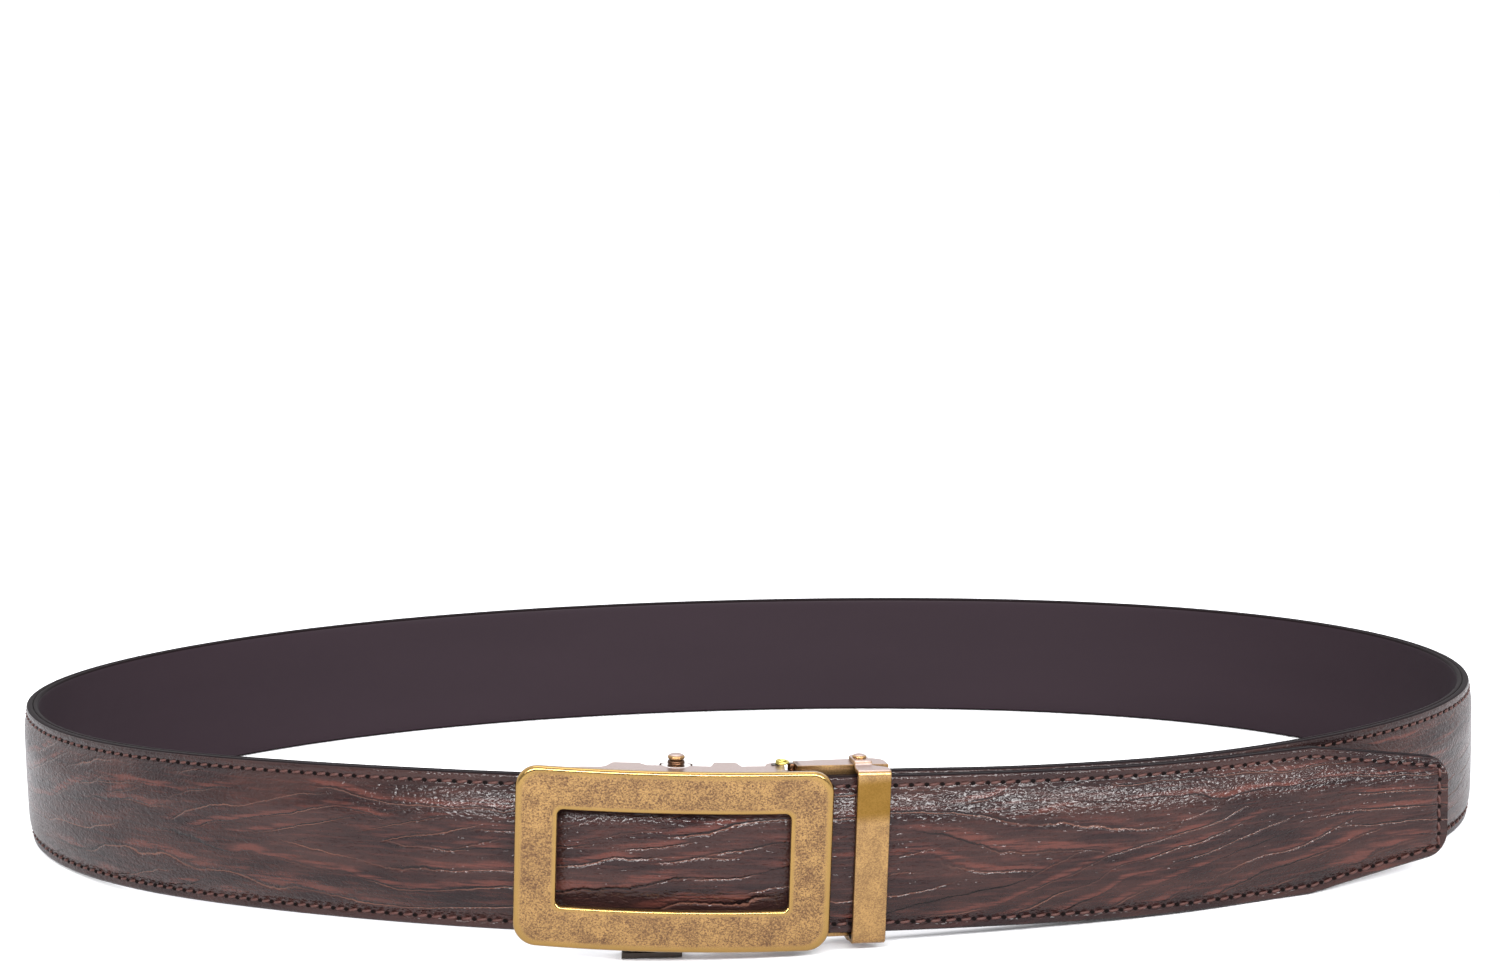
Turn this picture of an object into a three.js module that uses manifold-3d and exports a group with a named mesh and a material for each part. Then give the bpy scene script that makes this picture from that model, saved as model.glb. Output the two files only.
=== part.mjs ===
// Ratchet belt, fastened, standing on its edge. Millimetres, +Z up, buckle towards -Y.
import * as THREE from "three";
import { mergeVertices } from "three/addons/utils/BufferGeometryUtils.js";
import Module from "manifold-3d";

const wasm = await Module();
wasm.setup();

// Loop of the belt seen from above
const loopWidth = 380;
const loopDepth = 248;
// Control points of the loop, going right from the left of the buckle, as shares of half the loop
const loopRows = [
  { across: -0.314, along: -0.991 },
  { across: -0.011, along: -1.021 },
  { across: 0.312, along: -0.88 },
  { across: 0.643, along: -0.724 },
  { across: 0.905, along: -0.384 },
  { across: 1.01, along: 0.043 },
  { across: 0.919, along: 0.469 },
  { across: 0.671, along: 0.783 },
  { across: 0.34, along: 0.944 },
  { across: -0.014, along: 0.979 },
  { across: -0.365, along: 0.916 },
  { across: -0.691, along: 0.727 },
  { across: -0.94, along: 0.399 },
  { across: -1.031, along: -0.001 },
  { across: -0.899, along: -0.398 },
  { across: -0.62, along: -0.749 },
];
const buckleAlong = 42.15; // from the loop's first control point to the buckle's centre

// Strap, in two layers
const strapWidth = 35;
const liningThick = 1.3;
const layerGap = 0.2;
const faceThick = 1.6; // at the stitched margin
const crownHeight = 0.7; // padding along the middle
const liningEase = 0.9; // rounding of the lining's inner corners
const faceEase = 0.7; // rounding of the face's outer corners
const tipAlong = 189; // from the buckle's centre to the tail's tip
const tipTaperLength = 36.6;
const tipEndWidth = 23;
const tipCornerRadius = 4.5;
const tailLeaves = 128.8; // where the tail stands off from the layer under it
const tailBendRadius = -446; // below zero: the free end springs outwards
const stationPitch = 10;

// The front of the loop is lifted, because the buckle reaches lower than the strap
const liftHeight = 6.6;
const liftPeak = -32.15; // along the strap from the buckle's centre
const liftLeft = 168;
const liftRight = 174;
const innerLiftShare = 0.9; // the inner layer hangs a little lower

// Toothed track on the inner side of the tail
const trackWidth = 12;
const trackProud = 0.65;
const trackRecess = 0.7;
const trackBase = 0.35; // from the foot of a tooth to the back of the strip
const trackGap = 0.2;
const toothPitch = 6.35;
const toothCount = 32;
const toothTip = 0.9;
const toothRamp = 2.0;
const trackFirst = -35; // along the strap, left end of the track

// Clearances between pieces
const seatGap = 0.3;
const runGap = 0.35;

// Frame of the buckle
const frameLength = 68.65;
const frameBorder = 9.2;
const frameThick = 2;
const frameCorner = 5;
const windowCorner = 1.4;
const faceStand = 4.2; // from the strap's edge to the frame's face, at the middle
const frameDrop = 0.3;
const frameRoll = THREE.MathUtils.degToRad(2.9);
const frameTurn = THREE.MathUtils.degToRad(1.1); // seen from above, against the strap behind it
const bowRadius = 155; // the face is bowed as the strap is
const wallThick = 1;
const wallSide = 0.65; // from the strap's edge to a wall
const frameOverhang = 0.75; // frame's edge beyond its walls
// Back edge of a wall: place along the frame and depth behind the strap's edge
const topWallRows = [
  { along: -24, depth: 1.6 },
  { along: -21, depth: 2.9 },
  { along: -16, depth: 3.3 },
  { along: -15.3, depth: 3.8 },
  { along: -13.9, depth: 7.2 },
  { along: -13.3, depth: 7.5 },
  { along: -7.9, depth: 7.5 },
  { along: -6.2, depth: 5.5 },
  { along: 7.6, depth: 5.5 },
  { along: 8.3, depth: 8.9 },
  { along: 8.9, depth: 9.3 },
  { along: 12.9, depth: 9.3 },
  { along: 13.5, depth: 8.8 },
  { along: 14.4, depth: 6.1 },
];
const bottomWallRows = [
  { along: -24, depth: 1.6 },
  { along: -21, depth: 2.9 },
  { along: -16, depth: 3.3 },
  { along: -14.4, depth: 5.2 },
  { along: 7.6, depth: 5.5 },
  { along: 8.9, depth: 9.3 },
  { along: 12.9, depth: 9.3 },
  { along: 14.4, depth: 6.1 },
];
const earRadius = 2.1; // round the clamp's hinge pin
const bossRadius = 3.2;
const notchRadius = 0.7;

// Lever and its pin
const pinAlong = 0.1;
const pinRadius = 1;
const barrelRadius = 1.95;
const leverGap = 0.5; // from the tips of the track to the lever's barrel
const leverSide = 0.4; // from a wall to the end of the lever
const pawlAlong = 11;
const pawlWidth = 1.6;
const pawlBite = 0.3; // how far the pawl reaches between two teeth
const leverThick = 1.3;
const tabLeft = -10.7;
const tabRight = 2.5;
const tabDepth = 7.7; // front of the neck behind the strap's edge
const tabReach = 4.2; // how far the tab turns forward
const tabThick = 1.2;
const pinHeadRadius = 1.85;
const pinNeckRadius = 1.45;
const pinHeadHeight = 2.3;
const pinFootHeight = 0.7;

// Clamp that holds the cut end of the strap
const clampAlong = 38; // middle of the clamp along the strap
const clampDrop = 0.2;
const clampBackset = 4.2; // from the tail's edge to the clamp's base plate
const clampPlate = 1;
const clampSide = 0.95; // from the strap's edge to a flange
const clampFlange = 0.9;
const clampRight = 9.15;
const clampLeft = -11.35;
const flangeDepth = 10;
const flangeDepthAtHinge = 8.9;
const clampEndRadius = 3;
const hingeAlong = -15.7;
const hingeDepth = 7.3;
const hingeRadius = 0.9;
const eyeRadius = 1.9;
const eyeSide = 0.6; // from a wall of the frame to an eye
const cutEnd = -7.2; // cut end of the strap, from the clamp's middle
// Strip spring, bent round the hinge pin, behind the lever
const springThick = 0.5;
const springInset = 1.2; // from the strap's edge to the end of the spring
const springTip = 11.5; // along the frame
const springTravel = 2.6; // room for the lever's pawl end to move back

const jawLeft = -3;
const jawRight = 6;
const jawThick = 1;

// Keeper loop riveted to the clamp
const keeperAlong = 4.5; // from the clamp's middle
const keeperWidth = 7.6;
const keeperThick = 0.9;
const keeperRoom = 1.1; // from the strap's edge to the keeper
const keeperBend = 1.1;
const tongueWidth = 4;
const tongueThick = 0.7;
const tongueLeft = 1.2;
const tongueFront = 2.9; // where the arms start to step out over the clamp
const tongueBack = 9.6;
const rivetAlong = 3.1;
const rivetDepth = 6.6;
const rivetRadius = 1.5;
const rivetShank = 0.8;
const rivetHeight = 0.75;

const roundSides = 20;

// Sizes that follow from the ones above
const strapHalf = strapWidth / 2;
const wallInner = strapHalf + wallSide;
const wallOuter = wallInner + wallThick;
const frameHeight = 2 * (wallOuter + frameOverhang);
const leverHalf = wallInner - leverSide;
const neckRight = pinAlong - bossRadius - runGap;
const eyeOuter = wallInner - eyeSide;
const clampInner = strapHalf + clampSide;
const flangeOuter = clampInner + clampFlange;
const keeperHalf = strapHalf + keeperRoom + keeperThick;
const springHalf = strapHalf - springInset;
const jawHalf = clampInner - seatGap;
const cutReach = frameHeight; // a cut made with this height goes right through
const strapThick = liningThick + layerGap + faceThick;

function smooth(t) {
  const c = Math.min(1, Math.max(0, t));
  return c * c * (3 - 2 * c);
}

// Closed uniform cubic B-spline through the loop's control rows; t runs from 0 to 1
function splineAt(t) {
  const count = loopRows.length;
  const x = (((t % 1) + 1) % 1) * count;
  const cell = Math.floor(x);
  const f = x - cell;
  const weights = [
    (1 - f) ** 3 / 6,
    (3 * f ** 3 - 6 * f ** 2 + 4) / 6,
    (-3 * f ** 3 + 3 * f ** 2 + 3 * f + 1) / 6,
    f ** 3 / 6,
  ];
  const slopes = [-((1 - f) ** 2) / 2, (3 * f ** 2 - 4 * f) / 2, (-3 * f ** 2 + 2 * f + 1) / 2, f ** 2 / 2];
  const point = new THREE.Vector2();
  const tangent = new THREE.Vector2();
  for (let k = 0; k < 4; k += 1) {
    const row = loopRows[(cell + k - 1 + count) % count];
    const corner = new THREE.Vector2((row.across * loopWidth) / 2, (row.along * loopDepth) / 2);
    point.addScaledVector(corner, weights[k]);
    tangent.addScaledVector(corner, slopes[k]);
  }
  return { point, tangent: tangent.normalize() };
}

// Length along the loop at even steps of t
const splineSteps = 2400;
const splineLengths = [0];
for (let i = 1; i <= splineSteps; i += 1) {
  const a = splineAt((i - 1) / splineSteps).point;
  const b = splineAt(i / splineSteps).point;
  splineLengths.push(splineLengths[i - 1] + a.distanceTo(b));
}
const loopLength = splineLengths[splineSteps];

// Point and tangent of the loop at a distance along it from the buckle's centre
function loopAt(along) {
  const wanted = (((along + buckleAlong) % loopLength) + loopLength) % loopLength;
  let low = 0;
  let high = splineSteps;
  while (high - low > 1) {
    const middle = (low + high) >> 1;
    if (splineLengths[middle] <= wanted) low = middle;
    else high = middle;
  }
  const share = (wanted - splineLengths[low]) / (splineLengths[high] - splineLengths[low]);
  return splineAt((low + share) / splineSteps);
}

function liftAt(along) {
  const width = along < liftPeak ? liftLeft : liftRight;
  const share = Math.min(1, Math.abs(along - liftPeak) / width);
  return liftHeight * Math.cos((share * Math.PI) / 2) ** 2;
}

// How far the inner layer lies inside the tail, so that the track and the clamp have room
const lapFree = trackProud + seatGap + faceThick + crownHeight + layerGap + liningThick;
const lapInClamp = clampBackset + clampPlate + seatGap + crownHeight + 0.1;
const lapSettles = { from: clampAlong + clampRight, to: 83.4 };
const lapEnds = { from: 126.4, to: 239.4 };

function lapAt(along) {
  const settle = smooth((along - lapSettles.from) / (lapSettles.to - lapSettles.from));
  const leave = smooth((along - lapEnds.from) / (lapEnds.to - lapEnds.from));
  return THREE.MathUtils.lerp(lapInClamp, lapFree, settle) * (1 - leave);
}

// The tail's own bend: its heading turns evenly once it has left the loop
function tailAt(beyond) {
  const start = loopAt(tailLeaves);
  const turnAt = (d) => d / tailBendRadius;
  const heading = Math.atan2(start.tangent.y, start.tangent.x);
  const steps = 24;
  const point = start.point.clone();
  for (let i = 0; i < steps; i += 1) {
    const angle = heading + turnAt(((i + 0.5) / steps) * beyond);
    point.x += (Math.cos(angle) * beyond) / steps;
    point.y += (Math.sin(angle) * beyond) / steps;
  }
  const angle = heading + turnAt(beyond);
  return { point, tangent: new THREE.Vector2(Math.cos(angle), Math.sin(angle)) };
}

const cutAlong = clampAlong + cutEnd;
const tipAt = loopLength + tipAlong;

// Station of the strap: inner face of the lining, outward direction, lower edge
function strapAt(along) {
  const onTail = along > loopLength + tailLeaves;
  const place = onTail ? tailAt(along - loopLength - tailLeaves) : loopAt(along);
  const outward = new THREE.Vector2(place.tangent.y, -place.tangent.x);
  const inner = along < loopLength / 2;
  const point = place.point.clone().addScaledVector(outward, inner ? -lapAt(along) : 0);
  const bottom = inner ? liftAt(along) * innerLiftShare : liftAt(along - loopLength);
  return { point, outward, tangent: place.tangent, bottom };
}

// Half width of the strap: full, then tapering to a blunt tip with round corners
function halfWidthAt(along) {
  const fromTip = Math.max(0, tipAt - along);
  const taper = Math.min(1, fromTip / tipTaperLength);
  const straight = THREE.MathUtils.lerp(tipEndWidth, strapWidth, taper) / 2;
  const rounded = Math.max(0, tipCornerRadius - fromTip);
  const corner = tipCornerRadius - Math.sqrt(tipCornerRadius ** 2 - rounded ** 2);
  return straight - corner;
}

function stripPoint(along, across, outwards) {
  const station = strapAt(along);
  const middle = station.bottom + strapWidth / 2;
  return [
    station.point.x + station.outward.x * outwards,
    station.point.y + station.outward.y * outwards,
    middle + across,
  ];
}

// Closed mesh from points and triangles, faces turned outwards
function closedGeometry(points, triangles) {
  let volume = 0;
  for (const [i, j, k] of triangles) {
    const a = new THREE.Vector3(...points[i]);
    const b = new THREE.Vector3(...points[j]);
    const c = new THREE.Vector3(...points[k]);
    volume += a.dot(b.cross(c));
  }
  const order = volume < 0 ? triangles.map(([i, j, k]) => [i, k, j]) : triangles;
  const geometry = new THREE.BufferGeometry();
  geometry.setAttribute("position", new THREE.Float32BufferAttribute(points.flat(), 3));
  geometry.setIndex(order.flat());
  return geometry;
}

// A section carried along the strap; section(along) gives its corners as [across, outwards]
function sweptStrip(stations, section) {
  const points = [];
  const triangles = [];
  let corners = 0;
  for (const along of stations) {
    const outline = section(along);
    corners = outline.length;
    for (const [across, outwards] of outline) points.push(stripPoint(along, across, outwards));
  }
  for (let i = 0; i + 1 < stations.length; i += 1) {
    for (let j = 0; j < corners; j += 1) {
      const a = i * corners + j;
      const b = i * corners + ((j + 1) % corners);
      triangles.push([a, b, a + corners], [b, b + corners, a + corners]);
    }
  }
  const last = (stations.length - 1) * corners;
  const capOf = (along) => {
    const outline = section(along).map(([across, outwards]) => new THREE.Vector2(across, outwards));
    return THREE.ShapeUtils.triangulateShape(outline, []);
  };
  for (const [i, j, k] of capOf(stations[0])) triangles.push([i, k, j]);
  for (const [i, j, k] of capOf(stations[stations.length - 1])) triangles.push([last + i, last + j, last + k]);
  return closedGeometry(points, triangles);
}

function evenStations(from, to, pitch) {
  const count = Math.max(1, Math.ceil((to - from) / pitch));
  return Array.from({ length: count + 1 }, (_, i) => from + ((to - from) * i) / count);
}

// Solid operations on closed geometries
function solidOf(geometry) {
  const bare = geometry.clone();
  for (const name of Object.keys(bare.attributes)) {
    if (name !== "position") bare.deleteAttribute(name);
  }
  const merged = mergeVertices(bare, 1e-4);
  return new wasm.Manifold(
    new wasm.Mesh({
      numProp: 3,
      vertProperties: new Float32Array(merged.attributes.position.array),
      triVerts: new Uint32Array(merged.index.array),
    }),
  );
}

function geometryOf(solid) {
  const mesh = solid.getMesh();
  const geometry = new THREE.BufferGeometry();
  geometry.setAttribute("position", new THREE.Float32BufferAttribute(mesh.vertProperties, 3));
  geometry.setIndex(Array.from(mesh.triVerts));
  return geometry;
}

// Outline in the plane along x and depth y, made solid from one height to another
function standingSolid(outline, low, high) {
  const shape = new THREE.Shape(outline.map(([x, y]) => new THREE.Vector2(x, y)));
  const geometry = new THREE.ExtrudeGeometry(shape, { depth: high - low, bevelEnabled: false });
  geometry.translate(0, 0, low);
  return solidOf(geometry);
}

// Outline in the plane along x and height z, made solid from one depth to another
function facingSolid(outline, front, back) {
  const shape = new THREE.Shape(outline.map(([x, z]) => new THREE.Vector2(x, -z)));
  const geometry = new THREE.ExtrudeGeometry(shape, { depth: back - front, bevelEnabled: false });
  geometry.rotateX(-Math.PI / 2);
  geometry.translate(0, front, 0);
  return solidOf(geometry);
}

// Outline in the plane of depth y and height z, made solid from one place along x to another
function sidewaysSolid(outline, left, right) {
  const shape = new THREE.Shape(outline.map(([y, z]) => new THREE.Vector2(y, z)));
  const geometry = new THREE.ExtrudeGeometry(shape, { depth: right - left, bevelEnabled: false });
  geometry.applyMatrix4(new THREE.Matrix4().set(0, 0, 1, left, 1, 0, 0, 0, 0, 1, 0, 0, 0, 0, 0, 1));
  return solidOf(geometry);
}

function boxSolid(left, right, front, back, low, high) {
  return standingSolid([[left, front], [right, front], [right, back], [left, back]], low, high);
}

function roundSolid(x, y, radius, low, high) {
  const geometry = new THREE.CylinderGeometry(radius, radius, high - low, roundSides);
  geometry.rotateX(Math.PI / 2);
  geometry.translate(x, y, (low + high) / 2);
  return solidOf(geometry);
}

// Turned piece standing on a height: rows of radius and height, starting and ending on the axis
function turnedSolid(x, y, rows) {
  const profile = rows.map(([radius, height]) => new THREE.Vector2(radius, height));
  const geometry = new THREE.LatheGeometry(profile, roundSides);
  geometry.rotateX(Math.PI / 2);
  geometry.translate(x, y, 0);
  const points = groupsOfThree(geometry.attributes.position.array);
  const triangles = groupsOfThree(geometry.index.array);
  return solidOf(closedGeometry(points, triangles));
}

function groupsOfThree(array) {
  const count = array.length / 3;
  return Array.from({ length: count }, (_, i) => [array[3 * i], array[3 * i + 1], array[3 * i + 2]]);
}

function roundedRectangle(length, height, radius, steps) {
  const outline = [];
  const centres = [
    [length / 2 - radius, height / 2 - radius, 0],
    [-length / 2 + radius, height / 2 - radius, 1],
    [-length / 2 + radius, -height / 2 + radius, 2],
    [length / 2 - radius, -height / 2 + radius, 3],
  ];
  for (const [x, z, quarter] of centres) {
    for (let i = 0; i <= steps; i += 1) {
      const angle = ((quarter + i / steps) * Math.PI) / 2;
      outline.push([x + radius * Math.cos(angle), z + radius * Math.sin(angle)]);
    }
  }
  return outline;
}

// Materials
function finish(colour, roughness, metalness) {
  return new THREE.MeshStandardMaterial({ color: colour, roughness, metalness });
}
const faceLeather = finish(0x4d332c, 0.5, 0);
const liningLeather = finish(0x3a2d33, 0.65, 0);
const trackPlastic = finish(0x1c1a1b, 0.55, 0);
const antiqueBrass = finish(0xb38d4f, 0.42, 1);
const darkSteel = finish(0x3b3733, 0.45, 1);
const springBrass = finish(0x9a8a45, 0.4, 1);

function piece(name, geometry, material) {
  const bare = geometry.clone();
  bare.computeVertexNormals();
  const mesh = new THREE.Mesh(bare, material);
  mesh.name = name;
  return mesh;
}

// Strap
const strapStations = [
  ...evenStations(cutAlong, tipAt - tipTaperLength, stationPitch),
  ...evenStations(tipAt - tipTaperLength, tipAt - tipCornerRadius, stationPitch).slice(1),
  ...[0.6, 0.3, 0.1, 0].map((share) => tipAt - tipCornerRadius * share),
];

function faceSection(along) {
  const half = halfWidthAt(along);
  const low = liningThick + layerGap;
  const high = low + faceThick;
  const easeIn = half - faceEase;
  return [
    [-half, low],
    [half, low],
    [half, high - faceEase],
    [easeIn, high],
    [half * 0.78, high + crownHeight * 0.12],
    [half * 0.42, high + crownHeight * 0.75],
    [0, high + crownHeight],
    [-half * 0.42, high + crownHeight * 0.75],
    [-half * 0.78, high + crownHeight * 0.12],
    [-easeIn, high],
    [-half, high - faceEase],
  ];
}

function liningSection(along) {
  const half = halfWidthAt(along);
  return [
    [-half + liningEase, 0],
    [half - liningEase, 0],
    [half, liningEase],
    [half, liningThick],
    [-half, liningThick],
    [-half, liningEase],
  ];
}

function makeStrapFace() {
  return piece("strap_face", sweptStrip(strapStations, faceSection), faceLeather);
}

const trackLast = trackFirst + toothCount * toothPitch;

function makeStrapLining() {
  const whole = solidOf(sweptStrip(strapStations, liningSection));
  const half = trackWidth / 2 + trackGap;
  const reach = 1;
  const channelStations = evenStations(
    loopLength + trackFirst - trackGap,
    loopLength + trackLast + trackGap,
    stationPitch,
  );
  const channel = solidOf(
    sweptStrip(channelStations, () => [[-half, -reach], [half, -reach], [half, trackRecess], [-half, trackRecess]]),
  );
  return piece("strap_lining", geometryOf(whole.subtract(channel)), liningLeather);
}

// Track: saw teeth whose steep side holds the pawl; a valley lies at the pawl
function makeRatchetTrack() {
  const back = trackRecess - trackGap;
  const foot = back - trackBase;
  const valleyAt = pawlAlong - pawlWidth / 2 - runGap;
  const phase = (((valleyAt - trackFirst) % toothPitch) + toothPitch) % toothPitch;
  const stations = [loopLength + trackFirst];
  const heights = [foot];
  for (let i = 0; i < toothCount; i += 1) {
    const valley = trackFirst + phase + i * toothPitch;
    const flatEnd = valley + toothPitch - toothTip - toothRamp - 0.3;
    const marks = [
      [valley, foot],
      [flatEnd, foot],
      [flatEnd + toothRamp, -trackProud],
      [flatEnd + toothRamp + toothTip, -trackProud],
    ];
    for (const [along, height] of marks) {
      if (along < trackLast - 0.2 && along > trackFirst + 0.2) {
        stations.push(loopLength + along);
        heights.push(height);
      }
    }
  }
  stations.push(loopLength + trackLast);
  heights.push(foot);
  const half = trackWidth / 2;
  const heightAt = new Map(stations.map((along, i) => [along, heights[i]]));
  const section = (along) => [[-half, heightAt.get(along)], [half, heightAt.get(along)], [half, back], [-half, back]];
  return piece("ratchet_track", sweptStrip(stations, section), trackPlastic);
}

// Metal groups: origin on the strap's outer edge, x along, y inwards, z up, rolled with the strap
function headingAt(along) {
  const { tangent } = strapAt(loopLength + along);
  return Math.atan2(tangent.y, tangent.x);
}

const buckle = new THREE.Group();
buckle.rotation.order = "ZYX";
buckle.rotation.set(0, frameRoll, headingAt(0) + frameTurn);
buckle.position.set(...stripPoint(loopLength, -frameDrop, strapThick));
buckle.updateMatrixWorld(true);

// The clamp turns about the buckle's own upright
const clamp = new THREE.Group();
const clampPlace = stripPoint(loopLength + clampAlong, -clampDrop, strapThick);
clamp.position.copy(buckle.worldToLocal(new THREE.Vector3(...clampPlace)));
clamp.rotation.z = headingAt(clampAlong) - headingAt(0) - frameTurn;
buckle.add(clamp);
buckle.updateMatrixWorld(true);

// A point of the strap's lining face in the buckle's own directions
function strapInBuckle(along) {
  const [x, y, z] = stripPoint(loopLength + along, 0, 0);
  return buckle.worldToLocal(new THREE.Vector3(x, y, z));
}

const hingeInBuckle = buckle.worldToLocal(clamp.localToWorld(new THREE.Vector3(hingeAlong, hingeDepth, 0)));
const pinDepth = strapThick + trackProud + leverGap + barrelRadius;

function bowDepth(x) {
  return bowRadius - Math.sqrt(bowRadius ** 2 - x ** 2);
}

// Wall of the frame seen from above: its back edge, the ear round the hinge pin, the bowed front
function wallOutline(rows) {
  const ear = [[hingeInBuckle.x - earRadius, rows[rows.length - 1].depth + 0.8]];
  const earSteps = 8;
  for (let i = 0; i <= earSteps; i += 1) {
    const angle = Math.PI * (1 - i / earSteps);
    ear.push([
      hingeInBuckle.x + earRadius * Math.cos(angle),
      hingeInBuckle.y + earRadius * Math.sin(angle),
    ]);
  }
  const front = -faceStand + frameThick * 0.6;
  const frontSteps = evenStations(rows[0].along, hingeInBuckle.x + earRadius, 6).reverse();
  return [
    ...rows.map((row) => [row.along, row.depth]),
    ...ear,
    ...frontSteps.map((x) => [x, front + bowDepth(x)]),
  ].reverse();
}

function makeFrame() {
  const slabSteps = evenStations(-frameLength / 2 - 2, frameLength / 2 + 2, 3.2);
  const slab = standingSolid(
    [
      ...slabSteps.map((x) => [x, bowDepth(x) - faceStand]),
      ...slabSteps.slice().reverse().map((x) => [x, bowDepth(x) - faceStand + frameThick]),
    ],
    -frameHeight,
    frameHeight,
  );
  const reach = 14;
  const outer = facingSolid(roundedRectangle(frameLength, frameHeight, frameCorner, 6), -reach, reach);
  const opening = facingSolid(
    roundedRectangle(frameLength - 2 * frameBorder, frameHeight - 2 * frameBorder, windowCorner, 3),
    -reach,
    reach,
  );
  let solid = slab.intersect(outer).subtract(opening);
  solid = solid.add(standingSolid(wallOutline(topWallRows), wallInner, wallOuter));
  solid = solid.add(standingSolid(wallOutline(bottomWallRows), -wallOuter, -wallInner));
  for (const side of [-1, 1]) {
    const low = side > 0 ? wallInner : -wallOuter;
    const high = side > 0 ? wallOuter : -wallInner;
    solid = solid.add(roundSolid(pinAlong, pinDepth, bossRadius, low, high));
    for (const end of [-1, 1]) {
      const x = pinAlong + end * bossRadius;
      solid = solid.subtract(roundSolid(x, pinDepth + 1.2, notchRadius, low - 1, high + 1));
    }
  }
  solid = solid.subtract(roundSolid(pinAlong, pinDepth, pinRadius + seatGap, -cutReach, cutReach));
  solid = solid.subtract(roundSolid(hingeInBuckle.x, hingeInBuckle.y, hingeRadius + seatGap, -cutReach, cutReach));
  return piece("buckle_frame", geometryOf(solid), antiqueBrass);
}

function makeLeverPin() {
  const top = wallOuter + seatGap;
  const rows = [
    [0, -top - pinFootHeight],
    [pinHeadRadius * 0.8, -top - pinFootHeight],
    [pinHeadRadius, -top - pinFootHeight * 0.4],
    [pinHeadRadius, -top],
    [pinRadius, -top],
    [pinRadius, top],
    [pinHeadRadius * 0.97, top],
    [pinHeadRadius * 0.97, top + pinHeadHeight * 0.32],
    [pinNeckRadius, top + pinHeadHeight * 0.42],
    [pinNeckRadius, top + pinHeadHeight * 0.5],
    [pinHeadRadius, top + pinHeadHeight * 0.62],
    [pinHeadRadius * 0.72, top + pinHeadHeight * 0.9],
    [0, top + pinHeadHeight],
  ];
  return piece("lever_pin", geometryOf(turnedSolid(pinAlong, pinDepth, rows)), antiqueBrass);
}

// Height in the buckle's own directions that lies level with a height above the ground
function levelHeight(x, ground) {
  return (ground - buckle.position.z + x * Math.sin(frameRoll)) / Math.cos(frameRoll);
}

function makeLever() {
  const pawl = strapInBuckle(pawlAlong);
  const tip = pawl.y + trackProud - pawlBite;
  const armFront = pinDepth - leverThick / 2 + 0.3;
  const armBack = armFront + leverThick;
  const pawlLeft = pawl.x - pawlWidth / 2;
  const arm = standingSolid(
    [
      [pinAlong, armFront],
      [pawlLeft - 0.6, armFront],
      [pawlLeft, tip],
      [pawlLeft + pawlWidth, tip],
      [pawlLeft + pawlWidth + 0.5, armBack],
      [pinAlong, armBack],
    ],
    -leverHalf,
    leverHalf,
  );
  const pawlHalf = trackWidth / 2 - 0.5;
  const clearOfStrap = boxSolid(pinAlong, pawlLeft + 2 * pawlWidth, 0, armFront, pawlHalf, cutReach)
    .add(boxSolid(pinAlong, pawlLeft + 2 * pawlWidth, 0, armFront, -cutReach, -pawlHalf));
  const barrel = roundSolid(pinAlong, pinDepth, barrelRadius, -leverHalf, leverHalf);
  const tabBack = tabDepth + leverThick;
  const rearPlate = boxSolid(tabLeft, pinAlong + 0.4, tabDepth, tabBack, -leverHalf, leverHalf);
  const neck = facingSolid(
    [
      [tabLeft, levelHeight(tabLeft, 0)],
      [neckRight, levelHeight(neckRight, 0)],
      [neckRight, -leverHalf + 1],
      [tabLeft, -leverHalf + 1],
    ],
    tabDepth,
    tabBack,
  );
  const tab = facingSolid(
    [
      [tabLeft, levelHeight(tabLeft, 0)],
      [tabRight, levelHeight(tabRight, 0)],
      [tabRight, levelHeight(tabRight, tabThick)],
      [tabLeft, levelHeight(tabLeft, tabThick)],
    ],
    tabDepth - tabReach,
    tabBack,
  );
  const bore = roundSolid(pinAlong, pinDepth, pinRadius + seatGap, -cutReach, cutReach);
  const solid = arm.subtract(clearOfStrap).add(barrel).add(rearPlate).add(neck).add(tab).subtract(bore);
  return piece("release_lever", geometryOf(solid), darkSteel);
}

// Strip spring: a hook round the hinge pin and a leg behind the lever
function makeSpring() {
  const hook = hingeRadius + seatGap;
  const outer = hook + springThick;
  const turn = 10;
  const backAngle = Math.PI * 0.62;
  const frontAngle = -Math.PI * 0.55;
  const outline = [];
  for (let i = 0; i <= turn; i += 1) {
    const angle = THREE.MathUtils.lerp(frontAngle, backAngle, i / turn);
    outline.push([hingeInBuckle.x + outer * Math.cos(angle), hingeInBuckle.y + outer * Math.sin(angle)]);
  }
  const legDepth = pinDepth + leverThick + springTravel;
  outline.push([springTip, legDepth + springThick], [springTip, legDepth]);
  for (let i = turn; i >= 0; i -= 1) {
    const angle = THREE.MathUtils.lerp(frontAngle, backAngle, i / turn);
    outline.push([hingeInBuckle.x + hook * Math.cos(angle), hingeInBuckle.y + hook * Math.sin(angle)]);
  }
  return piece("lever_spring", geometryOf(standingSolid(outline, -springHalf, springHalf)), springBrass);
}

function clampFlangeOutline(front) {
  const outline = [[clampLeft, front], [clampRight, front]];
  const steps = 5;
  for (let i = 0; i <= steps; i += 1) {
    const angle = (i / steps) * (Math.PI / 2);
    outline.push([
      clampRight - clampEndRadius + clampEndRadius * Math.cos(angle),
      flangeDepth - clampEndRadius + clampEndRadius * Math.sin(angle),
    ]);
  }
  outline.push([clampLeft, flangeDepthAtHinge]);
  return outline;
}

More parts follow.
